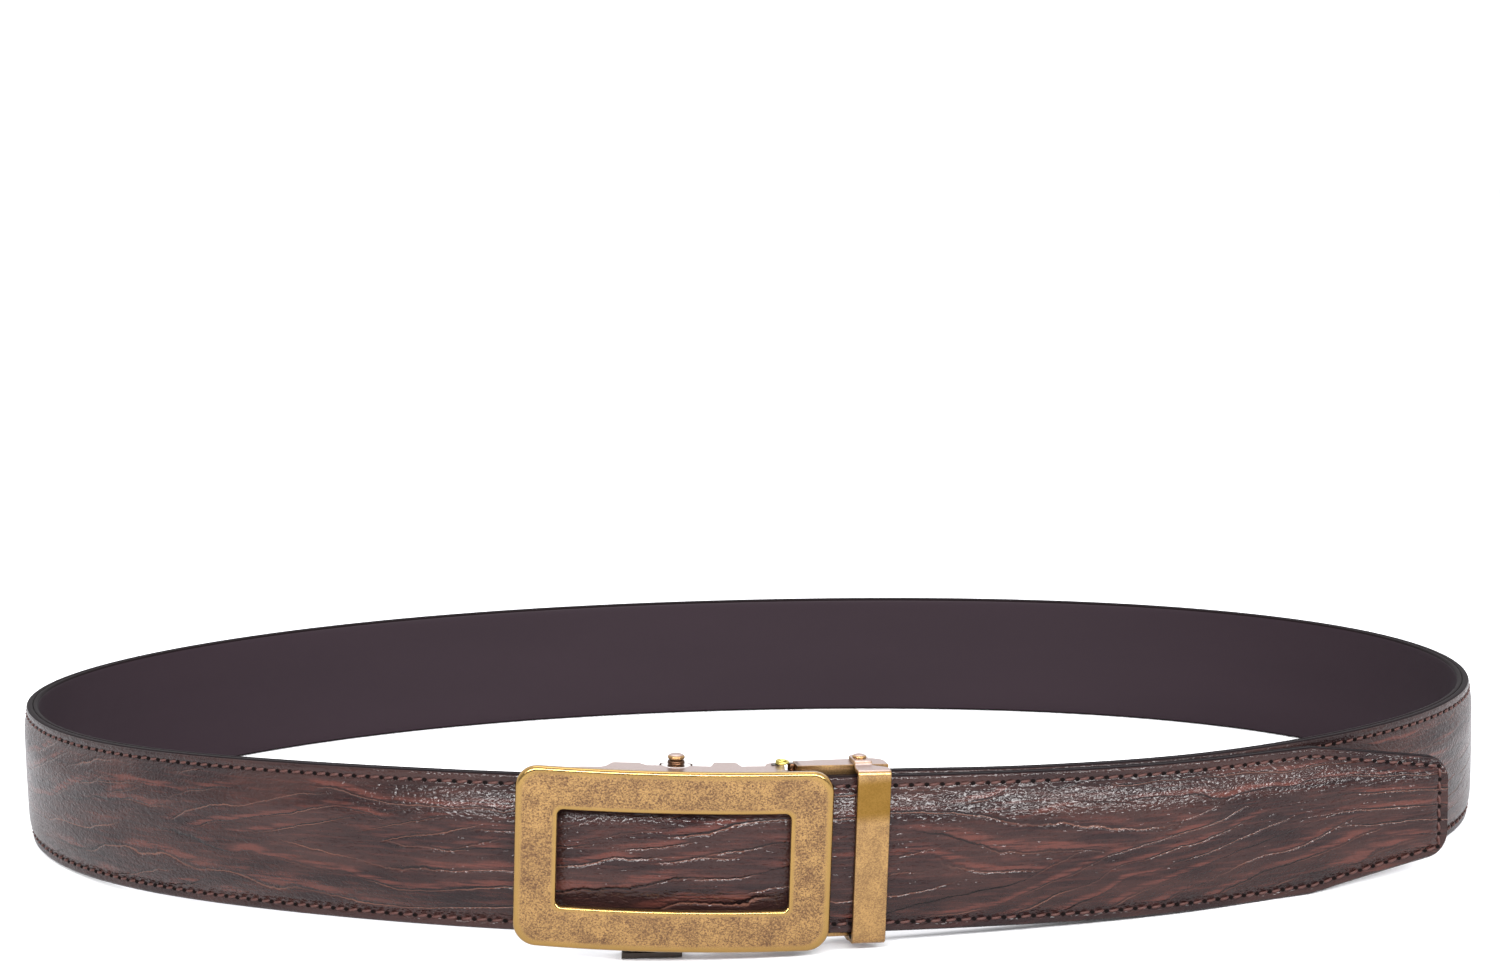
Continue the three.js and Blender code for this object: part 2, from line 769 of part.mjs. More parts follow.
function makeClampBody() {
  const back = clampBackset + clampPlate;
  let solid = boxSolid(clampLeft, clampRight, clampBackset, back, -flangeOuter, flangeOuter);
  const plateLeft = hingeAlong + eyeRadius + seatGap;
  solid = solid.add(boxSolid(plateLeft, clampLeft + 1, clampBackset, back, -eyeOuter, eyeOuter));
  for (const side of [-1, 1]) {
    const low = side > 0 ? clampInner : -flangeOuter;
    const high = side > 0 ? flangeOuter : -clampInner;
    solid = solid.add(standingSolid(clampFlangeOutline(clampBackset), low, high));
    const eyeLow = side > 0 ? eyeOuter - clampFlange : -eyeOuter;
    const eyeHigh = eyeLow + clampFlange;
    const jogEnd = clampLeft + clampFlange;
    const linkBack = hingeDepth + 1;
    solid = solid.add(roundSolid(hingeAlong, hingeDepth, eyeRadius, eyeLow, eyeHigh));
    solid = solid.add(boxSolid(hingeAlong, jogEnd, clampBackset, linkBack, eyeLow, eyeHigh));
    solid = solid.add(boxSolid(clampLeft, jogEnd, clampBackset, linkBack, Math.min(low, eyeLow), Math.max(high, eyeHigh)));
  }
  solid = solid.subtract(roundSolid(hingeAlong, hingeDepth, hingeRadius + seatGap, -cutReach, cutReach));
  solid = solid.subtract(roundSolid(rivetAlong, rivetDepth, rivetShank + seatGap, clampInner - 1, cutReach));
  solid = solid.subtract(roundSolid(rivetAlong, rivetDepth, rivetShank + seatGap, -cutReach, -clampInner + 1));
  return piece("clamp_body", geometryOf(solid), antiqueBrass);
}

function makeHingePin() {
  const end = wallOuter - 0.1;
  return piece(
    "clamp_hinge_pin",
    geometryOf(roundSolid(hingeAlong, hingeDepth, hingeRadius, -end, end)),
    darkSteel,
  );
}

function makeJaw() {
  const front = clampBackset + clampPlate + 2 * seatGap + 0.1 + crownHeight + strapThick + 0.1;
  const toothDepth = 0.5;
  const teeth = 4;
  const outline = [[jawLeft, front + toothDepth + jawThick], [jawLeft, front + toothDepth]];
  const step = (jawRight - jawLeft) / teeth;
  for (let i = 0; i < teeth; i += 1) {
    outline.push([jawLeft + (i + 0.5) * step, front], [jawLeft + (i + 1) * step, front + toothDepth]);
  }
  outline.push([jawRight, front + toothDepth + jawThick]);
  return piece("clamp_jaw", geometryOf(standingSolid(outline.reverse(), -jawHalf, jawHalf)), darkSteel);
}

// Keeper: a strip bent round the front, its arms stepping out over the clamp and narrowing to tongues
function makeKeeper() {
  const front = -crownHeight - runGap - keeperThick;
  const innerHalf = keeperHalf - keeperThick;
  const tongueInner = flangeOuter + seatGap;
  const tongueOuter = tongueInner + tongueThick;
  const left = keeperAlong - keeperWidth / 2;
  const right = keeperAlong + keeperWidth / 2;
  const stepEnd = tongueFront + 0.9;
  const outline = [];
  const corner = (y, z, radius, from, steps) => {
    for (let i = 0; i <= steps; i += 1) {
      const angle = ((from + i / steps) * Math.PI) / 2;
      outline.push([y + radius * Math.cos(angle), z + radius * Math.sin(angle)]);
    }
  };
  outline.push([tongueBack, tongueOuter], [stepEnd, tongueOuter], [tongueFront, keeperHalf]);
  corner(front + keeperBend, keeperHalf - keeperBend, keeperBend, 1, 4);
  corner(front + keeperBend, -keeperHalf + keeperBend, keeperBend, 2, 4);
  outline.push([tongueFront, -keeperHalf], [stepEnd, -tongueOuter], [tongueBack, -tongueOuter]);
  outline.push([tongueBack, -tongueInner], [stepEnd + 0.2, -tongueInner], [tongueFront + 0.2, -innerHalf]);
  outline.push([front + keeperThick, -innerHalf], [front + keeperThick, innerHalf]);
  outline.push([tongueFront + 0.2, innerHalf], [stepEnd + 0.2, tongueInner], [tongueBack, tongueInner]);
  let solid = sidewaysSolid(outline, Math.min(left, tongueLeft), right);
  const tongueRight = tongueLeft + tongueWidth;
  const plan = standingSolid(
    [
      [left, front - 1],
      [right, front - 1],
      [right, 0.6],
      [tongueRight, tongueFront + 0.3],
      [tongueRight, tongueBack - 1],
      [tongueRight - 1, tongueBack],
      [tongueLeft + 1, tongueBack],
      [tongueLeft, tongueBack - 1],
      [tongueLeft, tongueFront],
      [left, 0.6],
    ],
    -cutReach,
    cutReach,
  );
  solid = solid.intersect(plan);
  solid = solid.subtract(roundSolid(rivetAlong, rivetDepth, rivetShank + seatGap, -cutReach, cutReach));
  return piece("keeper_loop", geometryOf(solid), antiqueBrass);
}

function makeRivet(name, side) {
  const seat = flangeOuter + seatGap + tongueThick + seatGap / 3;
  const rows = [
    [0, clampInner + 0.1],
    [rivetShank, clampInner + 0.1],
    [rivetShank, seat],
    [rivetRadius, seat],
    [rivetRadius, seat + rivetHeight * 0.3],
    [rivetRadius * 0.8, seat + rivetHeight * 0.75],
    [rivetRadius * 0.45, seat + rivetHeight * 0.95],
    [0, seat + rivetHeight],
  ].map(([radius, height]) => [radius, height * side]);
  return piece(name, geometryOf(turnedSolid(rivetAlong, rivetDepth, rows)), antiqueBrass);
}

buckle.add(makeFrame(), makeLever(), makeLeverPin(), makeSpring());
clamp.add(
  makeClampBody(),
  makeHingePin(),
  makeJaw(),
  makeKeeper(),
  makeRivet("keeper_rivet_top", 1),
  makeRivet("keeper_rivet_bottom", -1),
);

const belt = new THREE.Group();
belt.add(makeStrapFace(), makeStrapLining(), makeRatchetTrack(), buckle);
belt.updateMatrixWorld(true);

// The origin lies under the middle of the belt
const box = new THREE.Box3().setFromObject(belt, true);
belt.position.set(-(box.min.x + box.max.x) / 2, -(box.min.y + box.max.y) / 2, -box.min.z);
belt.updateMatrixWorld(true);

export default belt;
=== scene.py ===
import math

import bpy
import numpy as np
from mathutils import Matrix, Vector


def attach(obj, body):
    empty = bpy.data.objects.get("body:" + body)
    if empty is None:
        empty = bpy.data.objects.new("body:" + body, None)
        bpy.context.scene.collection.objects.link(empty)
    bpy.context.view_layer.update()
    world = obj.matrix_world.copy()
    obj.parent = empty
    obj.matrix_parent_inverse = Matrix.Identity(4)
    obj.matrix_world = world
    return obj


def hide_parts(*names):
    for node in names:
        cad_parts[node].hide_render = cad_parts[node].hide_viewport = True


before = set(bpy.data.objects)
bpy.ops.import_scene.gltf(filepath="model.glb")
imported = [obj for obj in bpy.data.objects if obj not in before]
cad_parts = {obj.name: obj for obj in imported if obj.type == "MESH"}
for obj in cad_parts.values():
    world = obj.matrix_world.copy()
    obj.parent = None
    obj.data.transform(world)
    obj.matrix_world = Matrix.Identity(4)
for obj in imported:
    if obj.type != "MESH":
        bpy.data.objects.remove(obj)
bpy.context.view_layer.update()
print("frame loaded")

# All lengths below are millimetres in the belt's own directions, made metres when a mesh is built.
beltShift = np.array([1.574, 4.136, 0.0])

# Path of the strap, the same formulas as the solids
loop = {"halfWidth": 190.0, "halfDepth": 124.0, "buckleAlong": 42.15, "tip": 189.0, "cut": 30.8}
loopRows = np.array([
    [-0.314, -0.991], [-0.011, -1.021], [0.312, -0.88], [0.643, -0.724],
    [0.905, -0.384], [1.01, 0.043], [0.919, 0.469], [0.671, 0.783],
    [0.34, 0.944], [-0.014, 0.979], [-0.365, 0.916], [-0.691, 0.727],
    [-0.94, 0.399], [-1.031, -0.001], [-0.899, -0.398], [-0.62, -0.749],
]) * [loop["halfWidth"], loop["halfDepth"]]
strap = {
    "width": 35.0, "lining": 1.3, "gap": 0.2, "face": 1.6, "crown": 0.85,
    "taper": 36.6, "tipWidth": 23.0, "tipCorner": 4.5,
    "tailLeaves": 128.8, "tailRadius": -446.0,
    "lift": 6.6, "liftPeak": -32.15, "liftLeft": 168.0, "liftRight": 174.0, "innerLift": 0.9,
    "lapClamp": 6.3, "lapFree": 4.75, "lapRows": (47.15, 83.4, 126.4, 239.4),
}
strapThick = strap["lining"] + strap["gap"] + strap["face"]


def smooth(t):
    c = np.clip(t, 0, 1)
    return c * c * (3 - 2 * c)


def mix(a, b, t):
    return a + (b - a) * t


# Closed uniform cubic B-spline on the rows; t runs from 0 to 1 round the loop.
def splineAt(t):
    x = np.mod(t, 1) * len(loopRows)
    cell = np.floor(x).astype(int)
    f = x - cell
    weights = [
        (1 - f) ** 3 / 6, (3 * f ** 3 - 6 * f ** 2 + 4) / 6,
        (-3 * f ** 3 + 3 * f ** 2 + 3 * f + 1) / 6, f ** 3 / 6,
    ]
    slopes = [-((1 - f) ** 2) / 2, (3 * f ** 2 - 4 * f) / 2, (-3 * f ** 2 + 2 * f + 1) / 2, f ** 2 / 2]
    rows = [loopRows[(cell + k - 1) % len(loopRows)] for k in range(4)]
    point = sum(w[:, None] * r for w, r in zip(weights, rows))
    tangent = sum(w[:, None] * r for w, r in zip(slopes, rows))
    return point, tangent / np.linalg.norm(tangent, axis=1)[:, None]


tTable = np.linspace(0, 1, 4801)
tPoints = splineAt(tTable[:-1])[0]
tPoints = np.vstack([tPoints, tPoints[:1]])
tLengths = np.concatenate([[0], np.cumsum(np.linalg.norm(np.diff(tPoints, axis=0), axis=1))])
loopLength = tLengths[-1]
cutAt = loop["cut"]
tipAt = loopLength + loop["tip"]


def loopAt(along):
    wanted = np.mod(along + loop["buckleAlong"], loopLength)
    return splineAt(np.interp(wanted, tLengths, tTable))


def liftAt(along):
    width = np.where(along < strap["liftPeak"], strap["liftLeft"], strap["liftRight"])
    share = np.minimum(1, np.abs(along - strap["liftPeak"]) / width)
    return strap["lift"] * np.cos(share * math.pi / 2) ** 2


def lapAt(along):
    a, b, c, d = strap["lapRows"]
    settle = smooth((along - a) / (b - a))
    leave = smooth((along - c) / (d - c))
    return mix(strap["lapClamp"], strap["lapFree"], settle) * (1 - leave)


# The tail leaves the loop on an arc that bends outwards: heading = start + beyond / radius, with
# the radius below zero.
def stationAt(along):
    along = np.atleast_1d(np.asarray(along, float))
    point, tangent = loopAt(along)
    leaves = loopLength + strap["tailLeaves"]
    startPoint, startTangent = loopAt(np.array([leaves]))
    beyond = np.maximum(0, along - leaves)
    radius = strap["tailRadius"]
    start = math.atan2(startTangent[0, 1], startTangent[0, 0])
    heading = start + beyond / radius
    swing = np.stack([np.sin(heading) - math.sin(start), math.cos(start) - np.cos(heading)], 1)
    arc = startPoint + radius * swing
    onTail = (along > leaves)[:, None]
    point = np.where(onTail, arc, point)
    tangent = np.where(onTail, np.stack([np.cos(heading), np.sin(heading)], 1), tangent)
    outward = np.stack([tangent[:, 1], -tangent[:, 0]], 1)
    inner = along < loopLength / 2
    point = point - outward * (lapAt(along) * inner)[:, None]
    bottom = np.where(inner, liftAt(along) * strap["innerLift"], liftAt(along - loopLength))
    return point, tangent, outward, bottom


# Half width: full, then straight to the blunt tip, less the round corner.
def halfWidthAt(along):
    fromTip = np.maximum(0, tipAt - along)
    taper = np.minimum(1, fromTip / strap["taper"])
    straight = mix(strap["tipWidth"], strap["width"], taper) / 2
    r = strap["tipCorner"]
    rounded = np.clip(r - fromTip, 0, r)
    return straight - (r - np.sqrt(np.maximum(0, r * r - rounded ** 2)))


# point = station + outward * out, height = bottom + half strap + across
def strapPoints(along, across, out):
    point, tangent, outward, bottom = stationAt(np.ravel(along))
    shape = np.shape(along)
    xy = point + outward * np.ravel(out)[:, None]
    z = bottom + strap["width"] / 2 + np.ravel(across)
    return np.concatenate([xy, z[:, None]], 1).reshape(*shape, 3)


# Mesh helpers
def gridFaces(rows, cols, closeRows=False, closeCols=False):
    r = np.arange(rows if closeRows else rows - 1)
    c = np.arange(cols if closeCols else cols - 1)
    i, j = np.meshgrid(r, c, indexing="ij")
    i2, j2 = (i + 1) % rows, (j + 1) % cols
    return np.stack([i * cols + j, i * cols + j2, i2 * cols + j2, i2 * cols + j], -1).reshape(-1, 4)


# "second" is another material and the mask of the faces that take it
def build(name, points, faces, material, body, uv=None, caps=(), flip=False, smoothAll=True,
          sharp=None, second=None):
    points = (np.reshape(points, (-1, 3)) + beltShift) * 0.001
    lists = [list(map(int, f[::-1] if flip else f)) for f in faces] + [list(map(int, c)) for c in caps]
    mesh = bpy.data.meshes.new(name)
    mesh.from_pydata(points.tolist(), [], lists)
    if uv is not None:
        layer = mesh.uv_layers.new(name="UVMap")
        loopVerts = np.empty(len(mesh.loops), dtype=np.int32)
        mesh.loops.foreach_get("vertex_index", loopVerts)
        layer.data.foreach_set("uv", np.reshape(uv, (-1, 2))[loopVerts].astype(np.float32).ravel())
    mesh.polygons.foreach_set("use_smooth", np.full(len(mesh.polygons), smoothAll))
    mesh.materials.append(material)
    if second:
        mesh.materials.append(second[0])
        chosen = np.concatenate([np.ravel(second[1]), np.ones(len(caps), bool)])
        mesh.polygons.foreach_set("material_index", chosen.astype(np.int32))
    mesh.update()
    if sharp is not None:
        mesh.set_sharp_from_angle(angle=math.radians(sharp))
    obj = bpy.data.objects.new(name, mesh)
    bpy.context.scene.collection.objects.link(obj)
    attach(obj, body)
    return obj


# Shader helpers
def newMaterial(name):
    material = bpy.data.materials.new(name)
    material.use_nodes = True
    tree = material.node_tree
    return material, tree, tree.nodes["Principled BSDF"]


def put(tree, kind, inputs=None, **settings):
    node = tree.nodes.new(kind)
    for key, value in settings.items():
        setattr(node, key, value)
    for key, value in (inputs or {}).items():
        socket = node.inputs[key]
        if isinstance(value, bpy.types.NodeSocket):
            tree.links.new(value, socket)
        else:
            socket.default_value = value
    return node


def maths(tree, operation, a, b=0.0, c=0.0, clamp=False):
    return put(tree, "ShaderNodeMath", {0: a, 1: b, 2: c}, operation=operation, use_clamp=clamp).outputs[0]


def noise(tree, vector, scale, detail=2.0, roughness=0.5, distortion=0.0):
    inputs = {
        "Vector": vector, "Scale": scale, "Detail": detail, "Roughness": roughness, "Distortion": distortion,
    }
    return put(tree, "ShaderNodeTexNoise", inputs).outputs["Fac"]


def stretch(tree, vector, scale, offset=(0, 0, 0)):
    inputs = {"Vector": vector, "Location": offset, "Scale": scale}
    return put(tree, "ShaderNodeMapping", inputs).outputs["Vector"]


def ramp(tree, value, low, high, lowTo=0.0, highTo=1.0, kind="SMOOTHSTEP"):
    inputs = {"Value": value, "From Min": low, "From Max": high, "To Min": lowTo, "To Max": highTo}
    return put(tree, "ShaderNodeMapRange", inputs, interpolation_type=kind).outputs["Result"]


def blendColour(tree, factor, a, b, mode="MIX"):
    node = put(tree, "ShaderNodeMix", data_type="RGBA", blend_type=mode)
    for index, value in ((0, factor), (6, a), (7, b)):
        socket = node.inputs[index]
        if isinstance(value, bpy.types.NodeSocket):
            tree.links.new(value, socket)
        else:
            socket.default_value = value
    return node.outputs[2]


# sRGB 0-255 to the linear colour that the shaders take
def colour(r, g, b):
    rgb = np.array([r, g, b]) / 255
    linear = np.where(rgb <= 0.04045, rgb / 12.92, ((rgb + 0.055) / 1.055) ** 2.4)
    return (*[float(v) for v in linear], 1.0)


def shaderGroup(name, inputs, outputs):
    group = bpy.data.node_groups.new(name, "ShaderNodeTree")
    for label, kind in inputs:
        group.interface.new_socket(label, in_out="INPUT", socket_type=kind)
    for label, kind in outputs:
        group.interface.new_socket(label, in_out="OUTPUT", socket_type=kind)
    return group, group.nodes.new("NodeGroupInput"), group.nodes.new("NodeGroupOutput")


# Leather
# Folds: lines that run along the strap, t = (across + warp) / pitch; saw = fract(t) rises downwards
# to a crease at each whole number, and every fold fades in and out by itself. UV is in millimetres,
# along and across the strap.
def foldSet(group, place, pitch, slope, offset):
    parts = put(group, "ShaderNodeSeparateXYZ", {"Vector": place})
    x, y = parts.outputs["X"], parts.outputs["Y"]
    warp = maths(group, "MULTIPLY_ADD", x, slope, y)
    for scale, size, detail in (((0.011, 0.028), 18.0, 0.0), ((0.045, 0.085), 5.0, 1.0),
                                ((0.16, 0.2), 1.3, 1.0), ((0.9, 0.6), 0.5, 2.0)):
        wave = noise(group, stretch(group, place, (*scale, 1), (offset, 3 * offset, 0)), 1.0, detail)
        warp = maths(group, "MULTIPLY_ADD", maths(group, "SUBTRACT", wave, 0.5), size, warp)
    t = maths(group, "MULTIPLY", warp, -1.0 / pitch)
    saw = maths(group, "FRACT", t)
    cell = maths(group, "FLOOR", t)
    lane = put(group, "ShaderNodeCombineXYZ", {
        "X": maths(group, "MULTIPLY", x, 0.03), "Y": maths(group, "MULTIPLY", cell, 3.71), "Z": offset,
    }).outputs["Vector"]
    strength = ramp(group, noise(group, lane, 1.0, 1.0), 0.36, 0.60)
    other = put(group, "ShaderNodeVectorMath", {0: lane, 1: (17.3, 5.1, 2.2)}, operation="ADD")
    red = ramp(group, noise(group, other.outputs["Vector"], 1.0, 1.0), 0.38, 0.58)
    return saw, strength, red


def foldGroup():
    outputs = ("Height", "Worn", "CreaseShade", "LipHighlight", "Grain")
    group, entry, leave = shaderGroup(
        "leatherFolds", [("Vector", "NodeSocketVector")], [(label, "NodeSocketFloat") for label in outputs],
    )
    place = entry.outputs["Vector"]
    area = noise(group, stretch(group, place, (0.014, 0.045, 1), (21, 4, 0)), 1.0, 1.0)
    slanted = ramp(group, area, 0.50, 0.56)
    level = maths(group, "SUBTRACT", 1.0, slanted)
    patches = noise(group, stretch(group, place, (0.02, 0.05, 1), (2, 31, 0)), 1.0, 1.0)
    smoothArea = ramp(group, patches, 0.56, 0.66)
    keep = maths(group, "MULTIPLY_ADD", smoothArea, -0.75, 1.0)
    height, worn, crease, lipHighlight = 0.0, 0.0, 0.0, 0.0
    for pitch, slope, offset, share in ((4.7, 0.0, 1.3, level), (4.1, -0.22, 6.1, slanted)):
        saw, strength, red = foldSet(group, place, pitch, slope, offset)
        strength = maths(group, "MULTIPLY", maths(group, "MULTIPLY", strength, share), keep)
        sink = maths(group, "MULTIPLY_ADD", saw, -0.35, 1.0)
        rise = maths(group, "MULTIPLY", ramp(group, saw, 0.0, 0.13), sink)
        drop = ramp(group, saw, 0.90, 0.99, 1.0, 0.0)
        height = maths(group, "MULTIPLY_ADD", maths(group, "MULTIPLY", rise, drop), strength, height)
        # painted shade: a dark line along each crease, where the fold's shadow falls
        line = maths(group, "MAXIMUM", ramp(group, saw, 0.90, 0.97), ramp(group, saw, 0.05, 0.0))
        crease = maths(group, "MULTIPLY_ADD", line, strength, crease)
        # painted highlight: a thin pale line just under each crease, where the crease's lip catches the light
        lipGlint = maths(group, "MULTIPLY", ramp(group, saw, 0.0, 0.015), ramp(group, saw, 0.075, 0.04))
        lipHighlight = maths(group, "MULTIPLY_ADD", lipGlint, strength, lipHighlight)
        band = maths(group, "MULTIPLY", ramp(group, saw, 0.52, 0.78), ramp(group, saw, 0.97, 0.86))
        worn = maths(group, "MULTIPLY_ADD", maths(group, "MULTIPLY", band, red), share, worn)
    streaks = noise(group, stretch(group, place, (0.09, 1.3, 1), (2, 8, 0)), 1.0, 3.0, 0.6)
    worn = maths(group, "MULTIPLY", worn, ramp(group, streaks, 0.34, 0.58))
    worn = maths(group, "MULTIPLY_ADD", ramp(group, streaks, 0.46, 0.74), 0.42, worn, clamp=True)
    cells = put(group, "ShaderNodeTexVoronoi", {
        "Vector": stretch(group, place, (0.7, 1.2, 1)), "Scale": 1.0, "Randomness": 1.0,
    }, feature="DISTANCE_TO_EDGE").outputs["Distance"]
    pebble = ramp(group, cells, 0.0, 0.3)
    wrinkle = noise(group, stretch(group, place, (0.42, 0.95, 1), (5, 5, 0)), 1.0, 1.0, 0.5, 0.7)
    grain = maths(group, "MULTIPLY_ADD", wrinkle, 1.0, maths(group, "MULTIPLY", pebble, 0.22))
    for label, value in zip(outputs, (height, worn, crease, lipHighlight, grain)):
        group.links.new(value, leave.inputs[label])
    return group


folds = foldGroup()


def leatherFace():
    material, tree, shader = newMaterial("faceLeather")
    place = put(tree, "ShaderNodeUVMap", uv_map="UVMap").outputs["UV"]
    relief = put(tree, "ShaderNodeGroup", node_tree=folds)
    tree.links.new(place, relief.inputs["Vector"])
    across = put(tree, "ShaderNodeSeparateXYZ", {"Vector": place}).outputs["Y"]
    fromMiddle = maths(tree, "ABSOLUTE", across)
    inside = maths(tree, "SUBTRACT", 1.0, ramp(tree, fromMiddle, 13.4, 15.0))
    cushion = ramp(tree, fromMiddle, 15.4, 6.5)
    tint = noise(tree, stretch(tree, place, (0.03, 0.16, 1), (9, 1, 0)), 1.0, 3.0)
    base = blendColour(tree, ramp(tree, tint, 0.3, 0.7), colour(27, 17, 18), colour(46, 30, 28))
    worn = maths(tree, "MULTIPLY", relief.outputs["Worn"], maths(tree, "MULTIPLY_ADD", inside, 0.8, 0.2))
    base = blendColour(tree, maths(tree, "MULTIPLY", worn, 0.55), base, colour(88, 49, 42))
    # painted shade: the creases darkened to near black
    crease = maths(tree, "MULTIPLY", relief.outputs["CreaseShade"], inside)
    base = blendColour(tree, maths(tree, "MULTIPLY", crease, 0.85), base, colour(13, 8, 9))
    # painted highlight: the crease lips lightened to a pale tan
    lipHighlight = maths(tree, "MULTIPLY", relief.outputs["LipHighlight"], inside)
    base = blendColour(tree, maths(tree, "MULTIPLY", lipHighlight, 0.5), base, colour(112, 76, 64))
    tree.links.new(base, shader.inputs["Base Color"])
    rough = ramp(tree, relief.outputs["Grain"], 0.35, 0.85, 0.14, 0.2, "LINEAR")
    tree.links.new(rough, shader.inputs["Roughness"])
    high = maths(tree, "MULTIPLY", relief.outputs["Height"], inside)
    pad = put(tree, "ShaderNodeBump", {"Strength": 1.0, "Distance": 0.002, "Height": cushion})
    foldBump = put(tree, "ShaderNodeBump", {"Strength": 1.0, "Distance": 0.00025, "Height": high})
    grain = relief.outputs["Grain"]
    grainBump = put(tree, "ShaderNodeBump", {"Strength": 1.0, "Distance": 0.0002, "Height": grain})
    tree.links.new(pad.outputs["Normal"], foldBump.inputs["Normal"])
    tree.links.new(foldBump.outputs["Normal"], grainBump.inputs["Normal"])
    tree.links.new(grainBump.outputs["Normal"], shader.inputs["Normal"])
    shader.inputs["Specular IOR Level"].default_value = 0.27
    return material


def leatherLining():
    material, tree, shader = newMaterial("liningLeather")
    place = put(tree, "ShaderNodeUVMap", uv_map="UVMap").outputs["UV"]
    tint = noise(tree, stretch(tree, place, (0.01, 0.05, 1)), 1.0, 3.0)
    base = blendColour(tree, tint, colour(31, 21, 27), colour(37, 26, 32))
    tree.links.new(base, shader.inputs["Base Color"])
    shader.inputs["Roughness"].default_value = 0.55
    shader.inputs["Specular IOR Level"].default_value = 0.15
    grain = noise(tree, stretch(tree, place, (2.0, 2.0, 1)), 1.0, 3.0)
    bump = put(tree, "ShaderNodeBump", {"Strength": 0.3, "Distance": 0.00005, "Height": grain})
    tree.links.new(bump.outputs["Normal"], shader.inputs["Normal"])
    return material


# Edges painted nearly black, with the brush's slight unevenness along the strap
def paintedEdge():
    material, tree, shader = newMaterial("paintedEdge")
    place = put(tree, "ShaderNodeUVMap", uv_map="UVMap").outputs["UV"]
    tint = noise(tree, stretch(tree, place, (0.4, 2.0, 1)), 1.0, 2.0)
    tone = blendColour(tree, tint, colour(14, 9, 11), colour(24, 16, 18))
    tree.links.new(tone, shader.inputs["Base Color"])
    shader.inputs["Roughness"].default_value = 0.5
    shader.inputs["Specular IOR Level"].default_value = 0.03
    return material


def plainMaterial(name, rgb, roughness, metallic=0.0, specular=0.5):
    material, tree, shader = newMaterial(name)
    shader.inputs["Base Color"].default_value = rgb
    shader.inputs["Roughness"].default_value = roughness
    shader.inputs["Metallic"].default_value = metallic
    shader.inputs["Specular IOR Level"].default_value = specular
    return material


# Patina: fine brown speckle in clouds; "Amount" scales it. Outputs a colour, a roughness and a relief.
def patinaGroup():
    group, entry, leave = shaderGroup(
        "patina",
        [("Vector", "NodeSocketVector"), ("Amount", "NodeSocketFloat")],
        [("Color", "NodeSocketColor"), ("Roughness", "NodeSocketFloat"), ("Height", "NodeSocketFloat")],
    )
    place = entry.outputs["Vector"]
    cloud = noise(group, stretch(group, place, (210, 210, 210)), 1.0, 2.0, 0.6)
    speck = noise(group, stretch(group, place, (2500, 2500, 3100)), 1.0, 2.0, 0.7, 0.8)
    both = maths(group, "MULTIPLY_ADD", cloud, 0.24, maths(group, "MULTIPLY", speck, 0.9))
    mask = maths(group, "MULTIPLY", ramp(group, both, 0.44, 0.70), entry.outputs["Amount"])
    tone = blendColour(group, ramp(group, cloud, 0.35, 0.65), colour(188, 150, 98), colour(178, 142, 94))
    tone = blendColour(group, mask, tone, colour(104, 78, 62))
    rough = maths(group, "MULTIPLY_ADD", mask, 0.2, 0.3)
    group.links.new(tone, leave.inputs["Color"])
    group.links.new(rough, leave.inputs["Roughness"])
    group.links.new(speck, leave.inputs["Height"])
    return group


patina = patinaGroup()


# "rim" is the border's width where UV x is the distance from the outer edge: both rims stay clear of the
# speckle and smoother, in a deeper gold that is a painted reflection of the dark on their rounding.
# Faces that look up or down take a pale pink-grey, a painted reflection of the white surroundings; "band" is
# a darker stretch between two heights, a painted reflection on the keeper.
def brassMaterial(name, amount, rim=None, paintedReflection=None, band=None):
    material, tree, shader = newMaterial(name)
    coordinates = put(tree, "ShaderNodeTexCoord")
    look = put(tree, "ShaderNodeGroup", node_tree=patina)
    tree.links.new(coordinates.outputs["Object"], look.inputs["Vector"])
    look.inputs["Amount"].default_value = amount
    if rim:
        place = put(tree, "ShaderNodeUVMap", uv_map="UVMap").outputs["UV"]
        e = put(tree, "ShaderNodeSeparateXYZ", {"Vector": place}).outputs["X"]
        inner = maths(tree, "MULTIPLY", ramp(tree, e, 0.7, 1.9), ramp(tree, e, rim - 0.4, rim - 1.3))
        tree.links.new(maths(tree, "MULTIPLY", inner, amount), look.inputs["Amount"])
    tone = look.outputs["Color"]
    rough = look.outputs["Roughness"]
    if rim:
        # painted reflection: the rims take a deeper gold for the dark reflected on their rounding
        tone = blendColour(tree, maths(tree, "MULTIPLY_ADD", inner, -0.8, 0.8), tone, colour(170, 137, 80))
        rough = maths(tree, "MULTIPLY", rough, maths(tree, "MULTIPLY_ADD", inner, 0.35, 0.65))
    # painted reflection: a darker, saturated gold between two heights
    if band:
        low, high, reflectionBandTone = band
        z = put(tree, "ShaderNodeSeparateXYZ", {"Vector": coordinates.outputs["Object"]}).outputs["Z"]
        mask = maths(tree, "MULTIPLY", ramp(tree, z, low, low + 0.003), ramp(tree, z, high, high - 0.002))
        tone = blendColour(tree, maths(tree, "MULTIPLY", mask, 0.75), tone, reflectionBandTone)
    # painted reflection: faces that look up or down turn pink-grey, as the white surroundings show in them
    if paintedReflection:
        up = put(tree, "ShaderNodeSeparateXYZ", {"Vector": coordinates.outputs["Normal"]}).outputs["Z"]
        mask = ramp(tree, maths(tree, "ABSOLUTE", up), 0.6, 0.9)
        tone = blendColour(tree, mask, tone, paintedReflection)
    tree.links.new(tone, shader.inputs["Base Color"])
    tree.links.new(rough, shader.inputs["Roughness"])
    speck = look.outputs["Height"]
    bump = put(tree, "ShaderNodeBump", {"Strength": 0.2, "Distance": 0.00003, "Height": speck})
    tree.links.new(bump.outputs["Normal"], shader.inputs["Normal"])
    shader.inputs["Metallic"].default_value = 1.0
    return material


